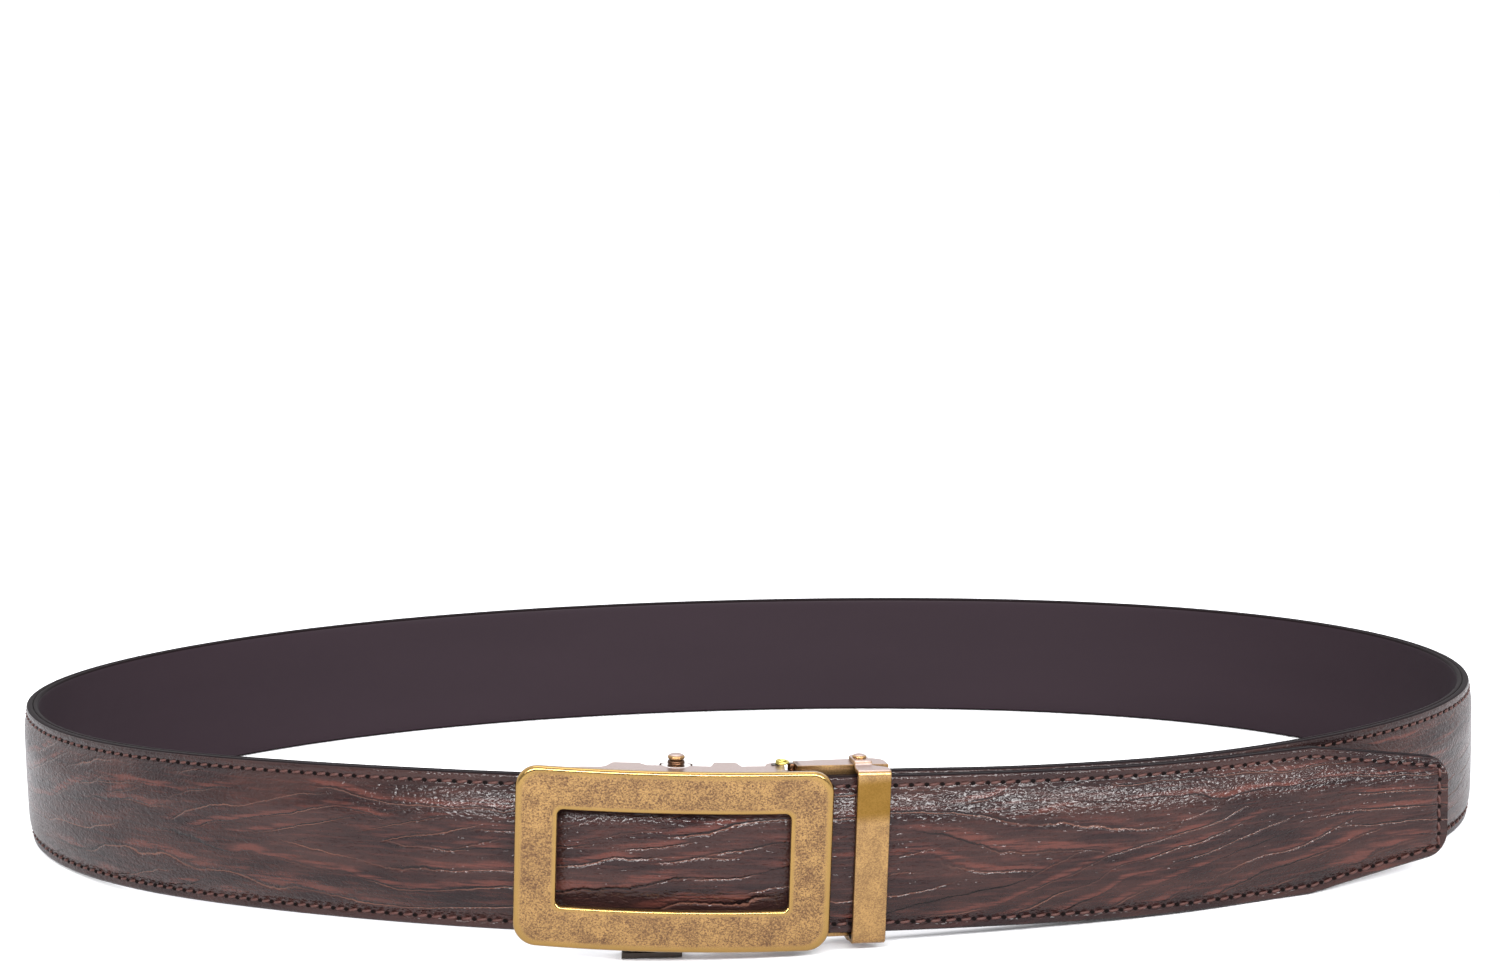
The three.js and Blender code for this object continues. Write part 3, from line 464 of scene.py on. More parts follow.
faceMaterial = leatherFace()
liningMaterial = leatherLining()
edgeMaterial = paintedEdge()
# pink-grey of the white surroundings, painted as a reflection on brass faces that look up or down
reflectionTone = colour(176, 157, 151)
brass = brassMaterial("antiqueBrass", 1.0, rim=9.2)
# the keeper's darker band between two heights is a painted reflection
brassBright = brassMaterial("keeperBrass", 0.6, paintedReflection=reflectionTone, band=(0.0285, 0.0395, colour(128, 94, 26)))
brassDull = brassMaterial("clampBrass", 0.5, paintedReflection=reflectionTone)
polished = plainMaterial("polishedCollar", colour(236, 230, 226), 0.12, 1.0)
darkBrass = plainMaterial("darkBrass", colour(84, 60, 44), 0.35, 1.0)
steel = plainMaterial("darkSteel", colour(78, 72, 68), 0.4, 1.0)
springMetal = plainMaterial("springBrass", colour(190, 176, 96), 0.3, 1.0)
plastic = plainMaterial("trackPlastic", colour(30, 27, 28), 0.5)
threadMaterial = plainMaterial("thread", colour(70, 45, 41), 0.4, specular=0.2)
# painted shade: near black for the dark inside of the needle holes
holeShade = plainMaterial("needleHoleShade", colour(12, 8, 8), 0.9, specular=0.05)
print("materials made")


# Strap, outer layer
# The padding stands out by crown * (0.8 (1 - exp(-w / 1.25)) + 0.2 (1 - exp(-w / 6))), with w the
# distance inwards from the margin.
def faceSheet():
    face = {"pitch": 1.6, "margin": 2.7, "ease": 0.75, "groove": 0.16, "stitchInset": 2.1, "rim": 5}
    stations = np.concatenate([
        np.arange(cutAt, tipAt - strap["tipCorner"], face["pitch"]),
        tipAt - strap["tipCorner"] * (1 - np.sin(np.linspace(0, 1, 9) * math.pi / 2)),
    ])
    half = halfWidthAt(stations)
    inset = np.concatenate([np.linspace(0, 4.4, 12), np.linspace(5.2, 16.75, 13)])
    low = strap["lining"] + 0.05
    high = strap["lining"] + strap["gap"] + strap["face"]
    ease = face["ease"]
    fullHalf = strap["width"] / 2
    turn = np.linspace(0, math.pi / 2, 5)
    # one side, from the inner edge round to the middle: distance from the edge, height, and edge mark
    sideIn = np.concatenate([[0.5, 0.12, 0.0], ease * (1 - np.cos(turn)), ease + inset[1:]])
    rounded = high - ease * (1 - np.sin(turn))
    sideOut = np.concatenate([[low, low + 0.05, low + 0.3], rounded, np.full(len(inset) - 1, high)])
    mark = np.concatenate([[1, 1, 1, 1, 1, 0.9, 0.35, 0], np.zeros(len(inset) - 1)])
    # rows near the edge keep their distance from it on the taper, and the rest close up
    rim = face["rim"]
    inner = rim + (sideIn[None, :] - rim) * (half[:, None] - rim) / (fullHalf - rim)
    distance = np.minimum(np.where(sideIn[None, :] < rim, sideIn[None, :], inner), half[:, None])
    fromEnd = np.minimum(distance, (tipAt - stations)[:, None])
    within = np.maximum(0, fromEnd - face["margin"])
    crown = strap["crown"] * (0.8 * (1 - np.exp(-within / 1.25)) + 0.2 * (1 - np.exp(-within / 6.0)))
    groove = face["groove"] * np.exp(-((fromEnd - face["stitchInset"]) / 0.5) ** 2)
    out = sideOut[None, :] + np.where(sideIn[None, :] > ease, crown - groove, 0)
    side = half[:, None] - distance
    across = np.concatenate([side, -side[:, -2::-1]], 1)
    out = np.concatenate([out, out[:, -2::-1]], 1)
    marks = np.concatenate([mark, mark[-2::-1]])
    along = np.repeat(stations[:, None], across.shape[1], 1)
    points = strapPoints(along, across, out)
    uv = np.stack([along, across], -1)
    rows, cols = across.shape
    faces = gridFaces(rows, cols, closeCols=True)
    painted = np.broadcast_to((marks > 0.5) & (np.roll(marks, -1) > 0.5), (rows - 1, cols))
    caps = [list(range(cols))[::-1], list(range((rows - 1) * cols, rows * cols))]
    return build("strapFace", points, faces, faceMaterial, "belt", uv, caps,
                 second=(edgeMaterial, painted))


strapFace = faceSheet()
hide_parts("strap_face")
print("strap face made")


# Strap, inner layer
def liningSheet():
    lining = {"pitch": 2.4, "ease": 0.8}
    stations = np.concatenate([
        np.arange(cutAt, tipAt - strap["tipCorner"], lining["pitch"]),
        tipAt - strap["tipCorner"] * (1 - np.sin(np.linspace(0, 1, 9) * math.pi / 2)),
    ])
    half = halfWidthAt(stations)[:, None]
    turn = np.linspace(0, math.pi / 2, 5)
    ease = lining["ease"]
    top = strap["lining"] + 0.02
    inset = np.concatenate([[0.4, 0.1, 0.0], ease * (1 - np.cos(turn)), [2.0, 5.0, 10.0]])
    out = np.concatenate([[top, top - 0.05, top - 0.2], ease * (1 - np.sin(turn)), [0, 0, 0]])
    mark = np.array([1, 1, 1, 1, 1, 1, 0.6, 0.0, 0, 0, 0])
    distance = np.minimum(inset[None, :], half)
    across = np.concatenate([half - distance, -(half - distance)[:, ::-1]], 1)
    outs = np.repeat(np.concatenate([out, out[::-1]])[None, :], len(stations), 0)
    along = np.repeat(stations[:, None], across.shape[1], 1)
    marks = np.concatenate([mark, mark[::-1]])
    uv = np.stack([along, across], -1)
    rows, cols = across.shape
    faces = gridFaces(rows, cols, closeCols=True)
    painted = np.broadcast_to((marks > 0.5) & (np.roll(marks, -1) > 0.5), (rows - 1, cols))
    caps = [list(range(cols)), list(range((rows - 1) * cols, rows * cols))[::-1]]
    points = strapPoints(along, across, outs)
    return build("strapLining", points, faces, liningMaterial, "belt", uv, caps, flip=True,
                 second=(edgeMaterial, painted))


strapLining = liningSheet()
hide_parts("strap_lining")
print("strap lining made")


# Stitches
# Each stitch is a thread arched over the leather: x along, y to the side, z outwards.
def stitchRun(along, across, slopeAngle):
    stitch = {"length": 2.5, "radius": 0.34, "rise": 0.16, "slant": 0.16, "rings": 7, "sides": 6}
    t = np.linspace(-1, 1, stitch["rings"])
    a = np.arange(stitch["sides"]) / stitch["sides"] * 2 * math.pi
    thick = stitch["radius"] * np.sqrt(np.clip(1 - 0.92 * t ** 4, 0, 1))
    x = np.repeat(t[:, None] * stitch["length"] / 2, len(a), 1)
    y = thick[:, None] * np.cos(a)[None, :] + stitch["slant"] * t[:, None]
    z = thick[:, None] * np.sin(a)[None, :] * 0.8 + stitch["rise"] * (1 - 2.2 * t[:, None] ** 2)
    cosine, sine = np.cos(slopeAngle)[:, None, None], np.sin(slopeAngle)[:, None, None]
    alongAll = along[:, None, None] + x[None] * cosine - y[None] * sine
    acrossAll = across[:, None, None] + x[None] * sine + y[None] * cosine
    high = strapThick - 0.1
    points = strapPoints(alongAll, acrossAll, np.broadcast_to(high + z[None], alongAll.shape))
    count, ringCount, sideCount = alongAll.shape
    one = gridFaces(ringCount, sideCount, closeCols=True)
    faces = (one[None] + (np.arange(count) * ringCount * sideCount)[:, None, None]).reshape(-1, 4)
    ends = np.array([np.arange(sideCount)[::-1], (ringCount - 1) * sideCount + np.arange(sideCount)])
    caps = (ends[None] + (np.arange(count) * ringCount * sideCount)[:, None, None]).reshape(-1, sideCount)
    return points.reshape(-1, 3), faces, caps


def stitchPlaces():
    seam = {"pitch": 3.55, "inset": 2.1, "tipInset": 2.3}
    start, end = cutAt + 2.0, tipAt - seam["tipInset"]
    stations = np.arange(start, end + 0.01, 0.5)
    # the seam follows the full straight taper, without the round corners
    taper = np.minimum(1, (tipAt - stations) / strap["taper"])
    side = mix(strap["tipWidth"], strap["width"], taper) / 2 - seam["inset"]
    run = np.concatenate([[0], np.cumsum(np.hypot(np.diff(stations), np.diff(side)))])
    count = int(run[-1] // seam["pitch"])
    at = run[-1] - seam["pitch"] * (np.arange(count) + 0.5)
    along = np.interp(at, run, stations)
    across = np.interp(at, run, side)
    slope = np.interp(along, stations, np.arctan(np.gradient(side, stations)))
    endHalf = side[-1]
    downCount = int(round(2 * endHalf / seam["pitch"]))
    down = endHalf - (np.arange(downCount) + 0.5) * 2 * endHalf / downCount
    alongAll = np.concatenate([along, along, np.full(downCount, end)])
    acrossAll = np.concatenate([across, -across, down])
    slopeAll = np.concatenate([slope, -slope, np.full(downCount, -math.pi / 2)])
    holeAt = np.concatenate([at + seam["pitch"] / 2, [at[-1] - seam["pitch"] / 2]])
    holeAlong = np.interp(holeAt, run, stations)
    holeAcross = np.interp(holeAt, run, side)
    holeDown = endHalf - np.arange(1, downCount) * 2 * endHalf / downCount
    holes = np.concatenate([
        np.stack([holeAlong, holeAcross], 1), np.stack([holeAlong, -holeAcross], 1),
        np.stack([np.full(downCount - 1, end), holeDown], 1),
    ])
    return alongAll, acrossAll, slopeAll, holes


seamAlong, seamAcross, seamSlope, seamHoles = stitchPlaces()
points, faces, caps = stitchRun(seamAlong, seamAcross, seamSlope)
stitches = build("stitches", points, faces, threadMaterial, "belt", caps=caps)


# Needle holes: flat dark discs of painted shade for the holes' dark insides, radius r, a hair above the
# leather
def holeDiscs(places):
    disc = {"radius": 0.55, "sides": 10, "out": 0.02}
    a = np.arange(disc["sides"]) / disc["sides"] * 2 * math.pi
    along = places[:, 0, None] + disc["radius"] * np.cos(a)[None]
    across = places[:, 1, None] + disc["radius"] * 0.8 * np.sin(a)[None]
    out = np.full(along.shape, strapThick + disc["out"])
    points = strapPoints(along, across, out)
    caps = np.arange(along.size).reshape(along.shape)
    return build("needleHoles", points, [], holeShade, "belt", caps=caps, smoothAll=False)


needleHoles = holeDiscs(seamHoles)
print("stitches made")

# Buckle directions: origin on the strap's outer edge, u along, d inwards, w up
buckle = {"drop": 0.3, "roll": 2.9, "turn": 1.1, "stand": 4.2, "bow": 155.0}
point, tangent, outward, bottom = stationAt([loopLength])
heading = math.atan2(tangent[0, 1], tangent[0, 0])
yaw = heading + math.radians(buckle["turn"])
roll = math.radians(buckle["roll"])
turnZ = np.array([[math.cos(yaw), -math.sin(yaw), 0], [math.sin(yaw), math.cos(yaw), 0], [0, 0, 1]])
turnY = np.array([[math.cos(roll), 0, math.sin(roll)], [0, 1, 0], [-math.sin(roll), 0, math.cos(roll)]])
buckleTurn = turnZ @ turnY
buckleAt = strapPoints(np.array([loopLength]), np.array([-buckle["drop"]]), np.array([strapThick]))[0]


def fromBuckle(points):
    return np.reshape(points, (-1, 3)) @ buckleTurn.T + buckleAt


clampSeat = {"along": 38.0, "drop": 0.2}
clampAlong = loopLength + clampSeat["along"]
clampAt = strapPoints(np.array([clampAlong]), np.array([-clampSeat["drop"]]), np.array([strapThick]))[0]
clampLocal = buckleTurn.T @ (clampAt - buckleAt)
tangentThere = stationAt([clampAlong])[1][0]
clampAngle = math.atan2(tangentThere[1], tangentThere[0]) - yaw
clampTurn = np.array([
    [math.cos(clampAngle), -math.sin(clampAngle), 0],
    [math.sin(clampAngle), math.cos(clampAngle), 0],
    [0, 0, 1],
])


def fromClamp(points):
    return fromBuckle(np.reshape(points, (-1, 3)) @ clampTurn.T + clampLocal)


def bowDepth(u):
    return buckle["bow"] - np.sqrt(buckle["bow"] ** 2 - u ** 2)


# Rounded rectangle with the same number of points on each side and corner
def roundedRectangle(halfLength, halfHeight, radius, sidePoints, cornerPoints):
    parts = []
    centres = [(1, 1), (-1, 1), (-1, -1), (1, -1)]
    for k, (sx, sz) in enumerate(centres):
        angle = (k + np.linspace(0, 1, cornerPoints)) * math.pi / 2
        corner = np.stack([
            sx * (halfLength - radius) + radius * np.cos(angle),
            sz * (halfHeight - radius) + radius * np.sin(angle),
        ], 1)
        nx, nz = centres[(k + 1) % 4]
        nextAngle = (k + 1) * math.pi / 2
        nextStart = np.array([
            nx * (halfLength - radius) + radius * math.cos(nextAngle),
            nz * (halfHeight - radius) + radius * math.sin(nextAngle),
        ])
        t = np.linspace(0, 1, sidePoints + 2)[1:-1, None]
        parts += [corner, corner[-1] * (1 - t) + nextStart * t]
    return np.concatenate(parts)


# Frame of the buckle
# The border's section runs between the outer and the inner outline: e is the share of the border,
# h the depth behind the bowed face.
def buckleRing():
    ring = {"halfLength": 34.325, "halfHeight": 19.9, "border": 9.2, "corner": 5.0, "windowCorner": 1.4,
            "thick": 2.0, "outerEase": 0.85, "innerEase": 0.55, "dome": 0.12}
    b = ring["border"]
    windowLength = ring["halfLength"] - b
    windowHeight = ring["halfHeight"] - b
    outer = roundedRectangle(ring["halfLength"], ring["halfHeight"], ring["corner"], 40, 14)
    inner = roundedRectangle(windowLength, windowHeight, ring["windowCorner"], 40, 14)
    turn = np.linspace(0, math.pi / 2, 7)
    a, c = ring["outerEase"], ring["innerEase"]
    faceE = np.linspace(a, b - c, 9)[1:-1]
    e = np.concatenate([[0.3, 0.0], a * (1 - np.cos(turn)), faceE, b - c + c * np.sin(turn), [b, b - 0.2]])
    middle = (faceE - a) / (b - c - a)
    h = np.concatenate([
        [ring["thick"], ring["thick"] - 0.3], a * (1 - np.sin(turn)) + ring["dome"],
        ring["dome"] * (1 - 4 * middle * (1 - middle)), c * (1 - np.cos(turn)) + ring["dome"],
        [ring["thick"] - 0.2, ring["thick"]],
    ])
    share = (e / b)[None, :, None]
    flat = outer[:, None, :] * (1 - share) + inner[:, None, :] * share
    depth = bowDepth(flat[..., 0]) - buckle["stand"] + h[None, :]
    points = np.stack([flat[..., 0], depth, flat[..., 1]], -1)
    faces = gridFaces(points.shape[0], points.shape[1], closeRows=True, closeCols=True)[:, ::-1]
    # the window's inner walls count as rim
    uv = np.broadcast_to(np.stack([np.where(h > 1.2, 0, e), h], -1), (*points.shape[:2], 2))
    return build("buckleRing", fromBuckle(points), faces, brass, "belt", uv, sharp=50)


buckleFrame = buckleRing()
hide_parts("buckle_frame")


# Upright prism on an outline seen from above, its rims eased by a chamfer
def prism(outline, low, high, ease):
    outline = np.asarray(outline, float)
    after = np.roll(outline, -1, 0) - outline
    before = outline - np.roll(outline, 1, 0)
    after /= np.linalg.norm(after, axis=1)[:, None]
    before /= np.linalg.norm(before, axis=1)[:, None]
    area = np.sum(outline[:, 0] * np.roll(outline[:, 1], -1) - outline[:, 1] * np.roll(outline[:, 0], -1))
    side = 1.0 if area > 0 else -1.0
    bisector = np.stack([-(after[:, 1] + before[:, 1]), after[:, 0] + before[:, 0]], 1) * side
    length = np.linalg.norm(bisector, axis=1)[:, None]
    bisector = bisector / np.maximum(length, 1e-6)
    spread = np.maximum(0.6, length / 2)
    inset = outline + bisector * ease / spread
    rings = [(inset, low), (outline, low + ease), (outline, high - ease), (inset, high)]
    points = np.stack([np.column_stack([flat, np.full(len(flat), z)]) for flat, z in rings])
    n = len(outline)
    faces = gridFaces(4, n, closeCols=True)
    caps = [list(range(n))[::-1], list(range(3 * n, 4 * n))]
    if area < 0:
        faces = faces[:, ::-1]
        caps = [c[::-1] for c in caps]
    return points.reshape(-1, 3), faces, caps


def joined(parts):
    points, faces, caps, start = [], [], [], 0
    for p, f, c in parts:
        points.append(p)
        faces.append(np.asarray(f) + start)
        caps += [[int(i) + start for i in cap] for cap in c]
        start += len(p)
    return np.concatenate(points), np.concatenate(faces), caps


# Turned piece about an upright axis: rows of radius and height, closed at both ends
def turned(x, y, rows, sides=28):
    rows = np.asarray(rows, float)
    a = np.arange(sides) / sides * 2 * math.pi
    points = np.stack([
        x + rows[:, 0, None] * np.cos(a), y + rows[:, 0, None] * np.sin(a),
        np.repeat(rows[:, 1, None], sides, 1),
    ], -1)
    faces = gridFaces(len(rows), sides, closeCols=True)
    n = len(rows) * sides
    caps = [list(range(sides))[::-1], list(range(n - sides, n))]
    if rows[-1, 1] < rows[0, 1]:
        faces = faces[:, ::-1]
        caps = [c[::-1] for c in caps]
    return points.reshape(-1, 3), faces, caps


# A metal piece: "place" takes its points from the frame's or the clamp's own directions
def metalPiece(name, place, shape, material, sharp=None):
    points, faces, caps = shape
    return build(name, place(points), faces, material, "belt", caps=caps, sharp=sharp)


# Side walls of the frame, with the ears
walls = {"inner": 18.15, "outer": 19.15, "ease": 0.12, "left": -24.0, "earRadius": 2.1}
topRows = [(-24, 1.6), (-21, 2.9), (-16, 3.3), (-15.3, 3.8), (-13.9, 7.2), (-13.3, 7.5), (-7.9, 7.5),
           (-6.2, 5.5), (7.6, 5.5), (8.3, 8.9), (8.9, 9.3), (12.9, 9.3), (13.5, 8.8), (14.4, 6.1)]
bottomRows = [(-24, 1.6), (-21, 2.9), (-16, 3.3), (-14.4, 5.2), (7.6, 5.5), (8.9, 9.3), (12.9, 9.3),
              (14.4, 6.1)]
hingeInClamp = (-15.7, 7.3)
hinge = clampTurn @ np.array([*hingeInClamp, 0]) + clampLocal


def wallOutline(rows):
    a = math.pi * (1 - np.linspace(0, 1, 14))
    ear = np.stack([hinge[0] + walls["earRadius"] * np.cos(a), hinge[1] + walls["earRadius"] * np.sin(a)], 1)
    u = np.linspace(hinge[0] + walls["earRadius"], walls["left"], 22)
    front = np.stack([u, bowDepth(u) - buckle["stand"] + 1.2], 1)
    return np.concatenate([rows, [(hinge[0] - walls["earRadius"], rows[-1][1] + 0.8)], ear, front])[::-1]


wallShapes = joined([
    prism(wallOutline(topRows), walls["inner"], walls["outer"], walls["ease"]),
    prism(wallOutline(bottomRows), -walls["outer"], -walls["inner"], walls["ease"]),
])
sideWalls = metalPiece("sideWalls", fromBuckle, wallShapes, brassDull, 35)
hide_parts("buckle_frame")

# Bosses round the pin: a disc of radius r with a notch at either side
boss = {"u": 0.1, "d": 6.2, "radius": 3.2, "notch": 0.7, "notchDepth": 1.2, "low": 18.1, "high": 19.25,
        "ease": 0.15}
plug = {"shift": 0.5, "along": 0.95, "deep": 0.8, "high": 19.05, "ease": 0.05}


def bossOutline():
    a = np.linspace(0, 2 * math.pi, 97)[:-1]
    r = np.full(len(a), boss["radius"])
    radius, deep = boss["radius"], boss["notchDepth"]
    reach = math.hypot(radius, deep)
    for centre in (math.atan2(deep, radius), math.atan2(deep, -radius)):
        side = reach * np.sin(a - centre)
        near = (np.abs(side) < boss["notch"]) & (np.cos(a - centre) > 0)
        cut = reach * np.cos(a - centre) - np.sqrt(np.maximum(0, boss["notch"] ** 2 - side ** 2))
        r = np.where(near, np.minimum(r, cut), r)
    return np.stack([boss["u"] + r * np.cos(a), boss["d"] + r * np.sin(a)], 1)


bossShapes = joined([
    prism(bossOutline(), boss["low"], boss["high"], boss["ease"]),
    prism(bossOutline(), -boss["high"], -boss["low"], boss["ease"]),
])
bosses = metalPiece("pinBosses", fromBuckle, bossShapes, polished, 35)
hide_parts("buckle_frame")


# Dark plugs that show as the shade in the notches
def notchPlugs():
    a = np.linspace(0, 2 * math.pi, 17)[:-1]
    parts = []
    for side in (-1, 1):
        middle = boss["u"] + side * (boss["radius"] - plug["shift"])
        ring = np.stack([
            middle + plug["along"] * np.cos(a), boss["d"] + boss["notchDepth"] + plug["deep"] * np.sin(a),
        ], 1)
        parts.append(prism(ring, boss["low"], plug["high"], plug["ease"]))
        parts.append(prism(ring, -plug["high"], -boss["low"], plug["ease"]))
    return joined(parts)


metalPiece("bossNotches", fromBuckle, notchPlugs(), darkBrass, 35)

# Pin of the lever
shankRows = [(0.01, -20.15), (1.48, -20.15), (1.85, -19.73), (1.85, -19.45), (1, -19.45), (1, 19.25),
             (1.75, 19.3), (1.85, 19.45), (1.88, 20.0), (1.7, 20.25), (1.4, 20.35), (1.4, 20.6), (0.01, 20.6)]
headRows = [(0.01, 20.5), (1.6, 20.5), (1.84, 20.62), (1.9, 20.85), (1.82, 21.15), (1.5, 21.45),
            (0.95, 21.66), (0.01, 21.75)]
for name, rows, material in (("leverPin", shankRows, darkBrass), ("pinHead", headRows, brassBright)):
    leverPin = metalPiece(name, fromBuckle, turned(boss["u"], boss["d"], rows), material, 50)
    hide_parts("lever_pin")
print("buckle made")

# Keeper: a bent strip; its section is swept along the bend
keeper = {"along": 4.5, "width": 7.5, "thick": 0.9, "front": -1.95, "outer": 19.5, "bend": 1.3,
          "tongueOut": 20.35, "stepFrom": 2.9, "stepTo": 3.8, "back": 9.6, "tongue": (1.2, 5.2)}


def keeperPath():
    k = keeper
    turn = np.linspace(0, math.pi / 2, 9)
    arm = [(k["back"], k["tongueOut"]), (k["stepTo"] + 0.4, k["tongueOut"]), (k["stepTo"], k["tongueOut"]),
           (k["stepFrom"], k["outer"]), (k["stepFrom"] - 0.4, k["outer"]), (1.0, k["outer"])]
    bend = np.stack([
        k["front"] + k["bend"] * (1 - np.sin(turn)), k["outer"] - k["bend"] * (1 - np.cos(turn)),
    ], 1)
    straight = k["outer"] - k["bend"]
    face = np.stack([np.full(24, k["front"]), np.linspace(straight, -straight, 26)[1:-1]], 1)
    half = np.concatenate([arm, bend])
    mirror = half[::-1] * [1, -1]
    return np.concatenate([half, face, mirror])


# Width of the strip by its depth: full at the front, narrowing to the tongue
def keeperSides(depth):
    k = keeper
    t = smooth((depth - 0.4) / 2.8)
    left = mix(k["along"] - k["width"] / 2, k["tongue"][0], t)
    right = mix(k["along"] + k["width"] / 2, k["tongue"][1], t)
    endRound = np.clip((depth - (k["back"] - 1.2)) / 1.2, 0, 1)
    pull = 1.4 * (1 - np.sqrt(1 - endRound ** 2))
    return left + pull, right - pull


def keeperStrip():
    path = keeperPath()
    fine = [path[0]]
    for a, b in zip(path[:-1], path[1:]):
        steps = max(1, int(np.ceil(np.linalg.norm(b - a) / 0.8)))
        fine += [a + (b - a) * (i + 1) / steps for i in range(steps)]
    path = np.array(fine)
    tangent = np.gradient(path, axis=0)
    tangent /= np.linalg.norm(tangent, axis=1)[:, None]
    normal = np.stack([-tangent[:, 1], tangent[:, 0]], 1)
    ease = 0.28
    turn = np.linspace(0, math.pi / 2, 4)
    left, right = keeperSides(path[:, 0])
    # section: x across the strip, n inwards from its outer face
    x0, x1 = left[:, None], right[:, None]
    xs = np.concatenate([
        x0 + ease - ease * np.sin(turn[::-1])[None],
        mix(x0 + ease, x1 - ease, np.linspace(0, 1, 7)[1:-1][None]),
        x1 - ease + ease * np.sin(turn)[None], x1, x0,
    ], 1)
    ns = np.concatenate([
        ease * (1 - np.cos(turn[::-1])), np.zeros(5), ease * (1 - np.cos(turn)),
        [keeper["thick"], keeper["thick"]],
    ])
    depth = path[:, 0, None] + normal[:, 0, None] * ns[None]
    height = path[:, 1, None] + normal[:, 1, None] * ns[None]
    points = np.stack([xs, depth, height], -1)
    rows, cols = xs.shape
    faces = gridFaces(rows, cols, closeCols=True)
    caps = [list(range(cols)), list(range((rows - 1) * cols, rows * cols))[::-1]]
    return metalPiece("keeperStrip", fromClamp, (points, faces[:, ::-1], caps), brassBright, 45)


keeperLoop = keeperStrip()
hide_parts("keeper_loop")

# Clamp
clamp = {"inner": 18.45, "outer": 19.35, "left": -11.35, "right": 9.15, "front": 4.2, "plate": 1.0,
         "depth": 10.0, "hingeDepth": 8.9, "endRadius": 3.0, "hinge": hingeInClamp, "eye": 1.9,
         "eyeOuter": 17.55, "eyeThick": 0.9}


def clampParts():
    c = clamp
    left, right, front, back = c["left"], c["right"], c["front"], c["front"] + c["plate"]
    a = np.linspace(0, math.pi / 2, 9)
    end = np.stack([
        right - c["endRadius"] * (1 - np.cos(a)), c["depth"] - c["endRadius"] * (1 - np.sin(a)),
    ], 1)
    flange = np.concatenate([[(left, front), (right, front)], end, [(left, c["hingeDepth"])]])
    plate = [(left, front), (right, front), (right, back), (left, back)]
    parts = [prism(flange, c["inner"], c["outer"], 0.12), prism(flange, -c["outer"], -c["inner"], 0.12)]
    parts.append(prism(plate, -c["inner"] - 0.1, c["inner"] + 0.1, 0.05))
    u, d = c["hinge"]
    jog = left + c["eyeThick"]
    bridge = [(u + 2.2, front), (jog, front), (jog, back), (u + 2.2, back)]
    parts.append(prism(bridge, -c["eyeOuter"], c["eyeOuter"], 0.05))
    b = np.linspace(0, 2 * math.pi, 25)[:-1]
    eye = np.stack([u + c["eye"] * np.cos(b), d + c["eye"] * np.sin(b)], 1)
    link = [(u, front), (jog, front), (jog, d + 1), (u, d + 1)]
    step = [(left, front), (jog, front), (jog, d + 1), (left, d + 1)]
    eyeInner = c["eyeOuter"] - c["eyeThick"]
    for low, stepLow in ((eyeInner, eyeInner), (-c["eyeOuter"], -c["outer"])):
        high = low + c["eyeThick"]
        parts += [prism(eye, low, high, 0.1), prism(link, low, high, 0.1)]
        parts.append(prism(step, stepLow, stepLow + c["outer"] - c["eyeOuter"] + c["eyeThick"], 0.1))
    return joined(parts)


clampBody = metalPiece("clampBody", fromClamp, clampParts(), brassDull, 35)
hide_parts("clamp_body")


# Wire spring round the top end of the clamp's hinge pin, and the dark knuckle beside it, a dark piece of
# painted shade for the recess at the clamp's end:
# coil point = hinge + radius * (cos, sin)(turn angle), rising evenly
def wireCoil():
    coil = {"shift": 1.6, "radius": 1.25, "wire": 0.3, "turns": 1.6, "low": 19.45, "high": 20.15,
            "steps": 48, "sides": 8}
    t = np.linspace(0, 1, coil["steps"])
    turnAngle = 2 * math.pi * coil["turns"] * t + 0.6
    a = np.arange(coil["sides"]) / coil["sides"] * 2 * math.pi
    radius = coil["radius"] + coil["wire"] * np.cos(a)[None]
    points = np.stack([
        hinge[0] + coil["shift"] + radius * np.cos(turnAngle)[:, None],
        hinge[1] + radius * np.sin(turnAngle)[:, None],
        mix(coil["low"], coil["high"], t)[:, None] + coil["wire"] * np.sin(a)[None],
    ], -1)
    faces = gridFaces(coil["steps"], coil["sides"], closeCols=True)
    n = coil["steps"] * coil["sides"]
    caps = [list(range(coil["sides"])), list(range(n - coil["sides"], n))[::-1]]
    return points.reshape(-1, 3), faces[:, ::-1], caps


metalPiece("hingeSpring", fromBuckle, wireCoil(), springMetal)
knuckleRows = [(0.01, 17.6), (0.85, 17.6), (0.95, 17.8), (0.95, 19.0), (0.8, 19.2), (0.01, 19.25)]
# painted shade: the knuckle's dark finish stands for the dark recess between the ear and the clamp
metalPiece("hingeKnuckleShade", fromClamp, turned(-11.9, 7.4, knuckleRows), darkBrass, 45)

# Keeper rivets
rivetPlace = (3.1, 6.6)
rivetRows = np.array([
    (0.75, 18.55), (0.75, 20.35), (1.5, 20.38), (1.56, 20.55), (1.5, 20.78), (1.25, 21.0), (0.8, 21.14),
    (0.01, 21.2),
])
for name, side, node in (("rivetTop", 1, "keeper_rivet_top"), ("rivetBottom", -1, "keeper_rivet_bottom")):
    rivet = metalPiece(name, fromClamp, turned(*rivetPlace, rivetRows * [1, side]), brassDull, 60)
    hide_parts(node)
print("keeper and clamp made")

# Finishes of the pieces that are shown as the solids are
for node, material in (("release_lever", steel), ("lever_spring", springMetal), ("clamp_hinge_pin", steel),
                       ("clamp_jaw", steel), ("ratchet_track", plastic)):
    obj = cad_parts[node]
    obj.data.materials.clear()
    obj.data.materials.append(material)

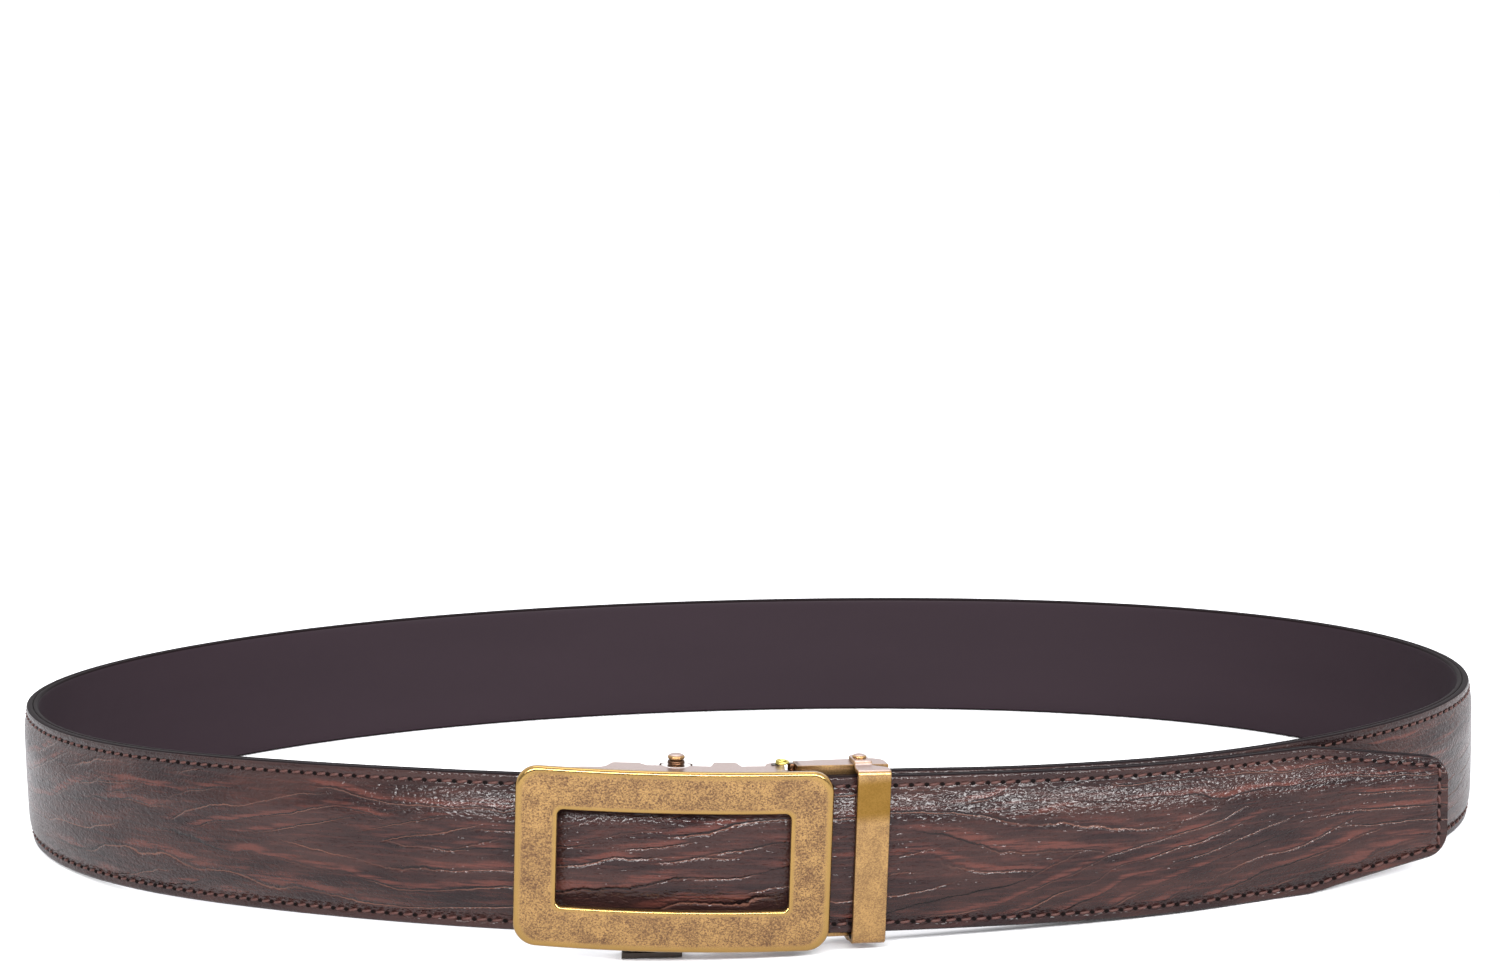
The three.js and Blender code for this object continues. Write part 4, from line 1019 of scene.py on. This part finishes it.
# Floor, light and camera
# Pale paper with a slight glow, greyer in reflections, so that the dark leather keeps its depth
def floorPaint():
    material, tree, shader = newMaterial("paleFloor")
    mirrored = put(tree, "ShaderNodeLightPath").outputs["Is Glossy Ray"]
    tone = blendColour(tree, mirrored, colour(250, 250, 252), colour(188, 188, 190))
    tree.links.new(tone, shader.inputs["Base Color"])
    shader.inputs["Roughness"].default_value = 0.9
    shader.inputs["Emission Color"].default_value = (1, 1, 1, 1)
    shader.inputs["Emission Strength"].default_value = 0.05
    return material


floorMaterial = floorPaint()
floorMesh = bpy.data.meshes.new("floor")
floorCorners = [(-6, -3, -0.0002), (6, -3, -0.0002), (6, 9, -0.0002), (-6, 9, -0.0002)]
floorMesh.from_pydata(floorCorners, [], [(0, 1, 2, 3)])
floorMesh.materials.append(floorMaterial)
floor = bpy.data.objects.new("floor", floorMesh)
bpy.context.scene.collection.objects.link(floor)

# The surroundings are white behind and above the belt and darker in front of it, as in a studio
world = bpy.data.worlds.new("studio")
world.use_nodes = True
worldTree = world.node_tree
direction = put(worldTree, "ShaderNodeTexCoord").outputs["Generated"]
towards = put(worldTree, "ShaderNodeSeparateXYZ", {"Vector": direction})
mixed = maths(worldTree, "MULTIPLY_ADD", towards.outputs["Z"], 0.5, towards.outputs["Y"])
level = ramp(worldTree, mixed, -0.8, 0.5, 0.06, 1.3)
background = worldTree.nodes["Background"]
background.inputs["Color"].default_value = (0.97, 0.975, 1.0, 1)
seen = put(worldTree, "ShaderNodeLightPath").outputs["Is Camera Ray"]
strength = maths(worldTree, "MAXIMUM", level, maths(worldTree, "MULTIPLY", seen, 1.3))
worldTree.links.new(strength, background.inputs["Strength"])
bpy.context.scene.world = world
bpy.context.scene.view_settings.view_transform = "Standard"


def areaLight(name, place, target, size, power, tone=(1, 1, 1)):
    light = bpy.data.lights.new(name, "AREA")
    light.shape = "RECTANGLE"
    light.size, light.size_y = size
    light.energy = power
    light.color = tone
    obj = bpy.data.objects.new(name, light)
    obj.location = place
    obj.rotation_euler = (Vector(target) - Vector(place)).to_track_quat("-Z", "Y").to_euler()
    bpy.context.scene.collection.objects.link(obj)
    return obj


areaLight("stripLight", (0.1, -1.2, 0.7), (0, -0.12, 0.02), (3.1, 0.2), 64)
areaLight("topLight", (0.0, 0.1, 1.1), (0, 0.0, 0), (1.2, 0.5), 5)

view = {"place": (0, -651.27, 173.37), "tilt": 0.1328, "roll": -0.0195, "lens": 60, "sensor": 36}
cameraData = bpy.data.cameras.new("view")
cameraData.lens = view["lens"]
cameraData.sensor_width = view["sensor"]
camera = bpy.data.objects.new("view", cameraData)
place = (np.array(view["place"]) + beltShift) * 0.001
camera.matrix_world = (
    Matrix.Translation(Vector(place)) @ Matrix.Rotation(math.pi / 2 - view["tilt"], 4, "X")
    @ Matrix.Rotation(view["roll"], 4, "Z")
)
bpy.context.scene.collection.objects.link(camera)
bpy.context.scene.camera = camera
print("stage made")
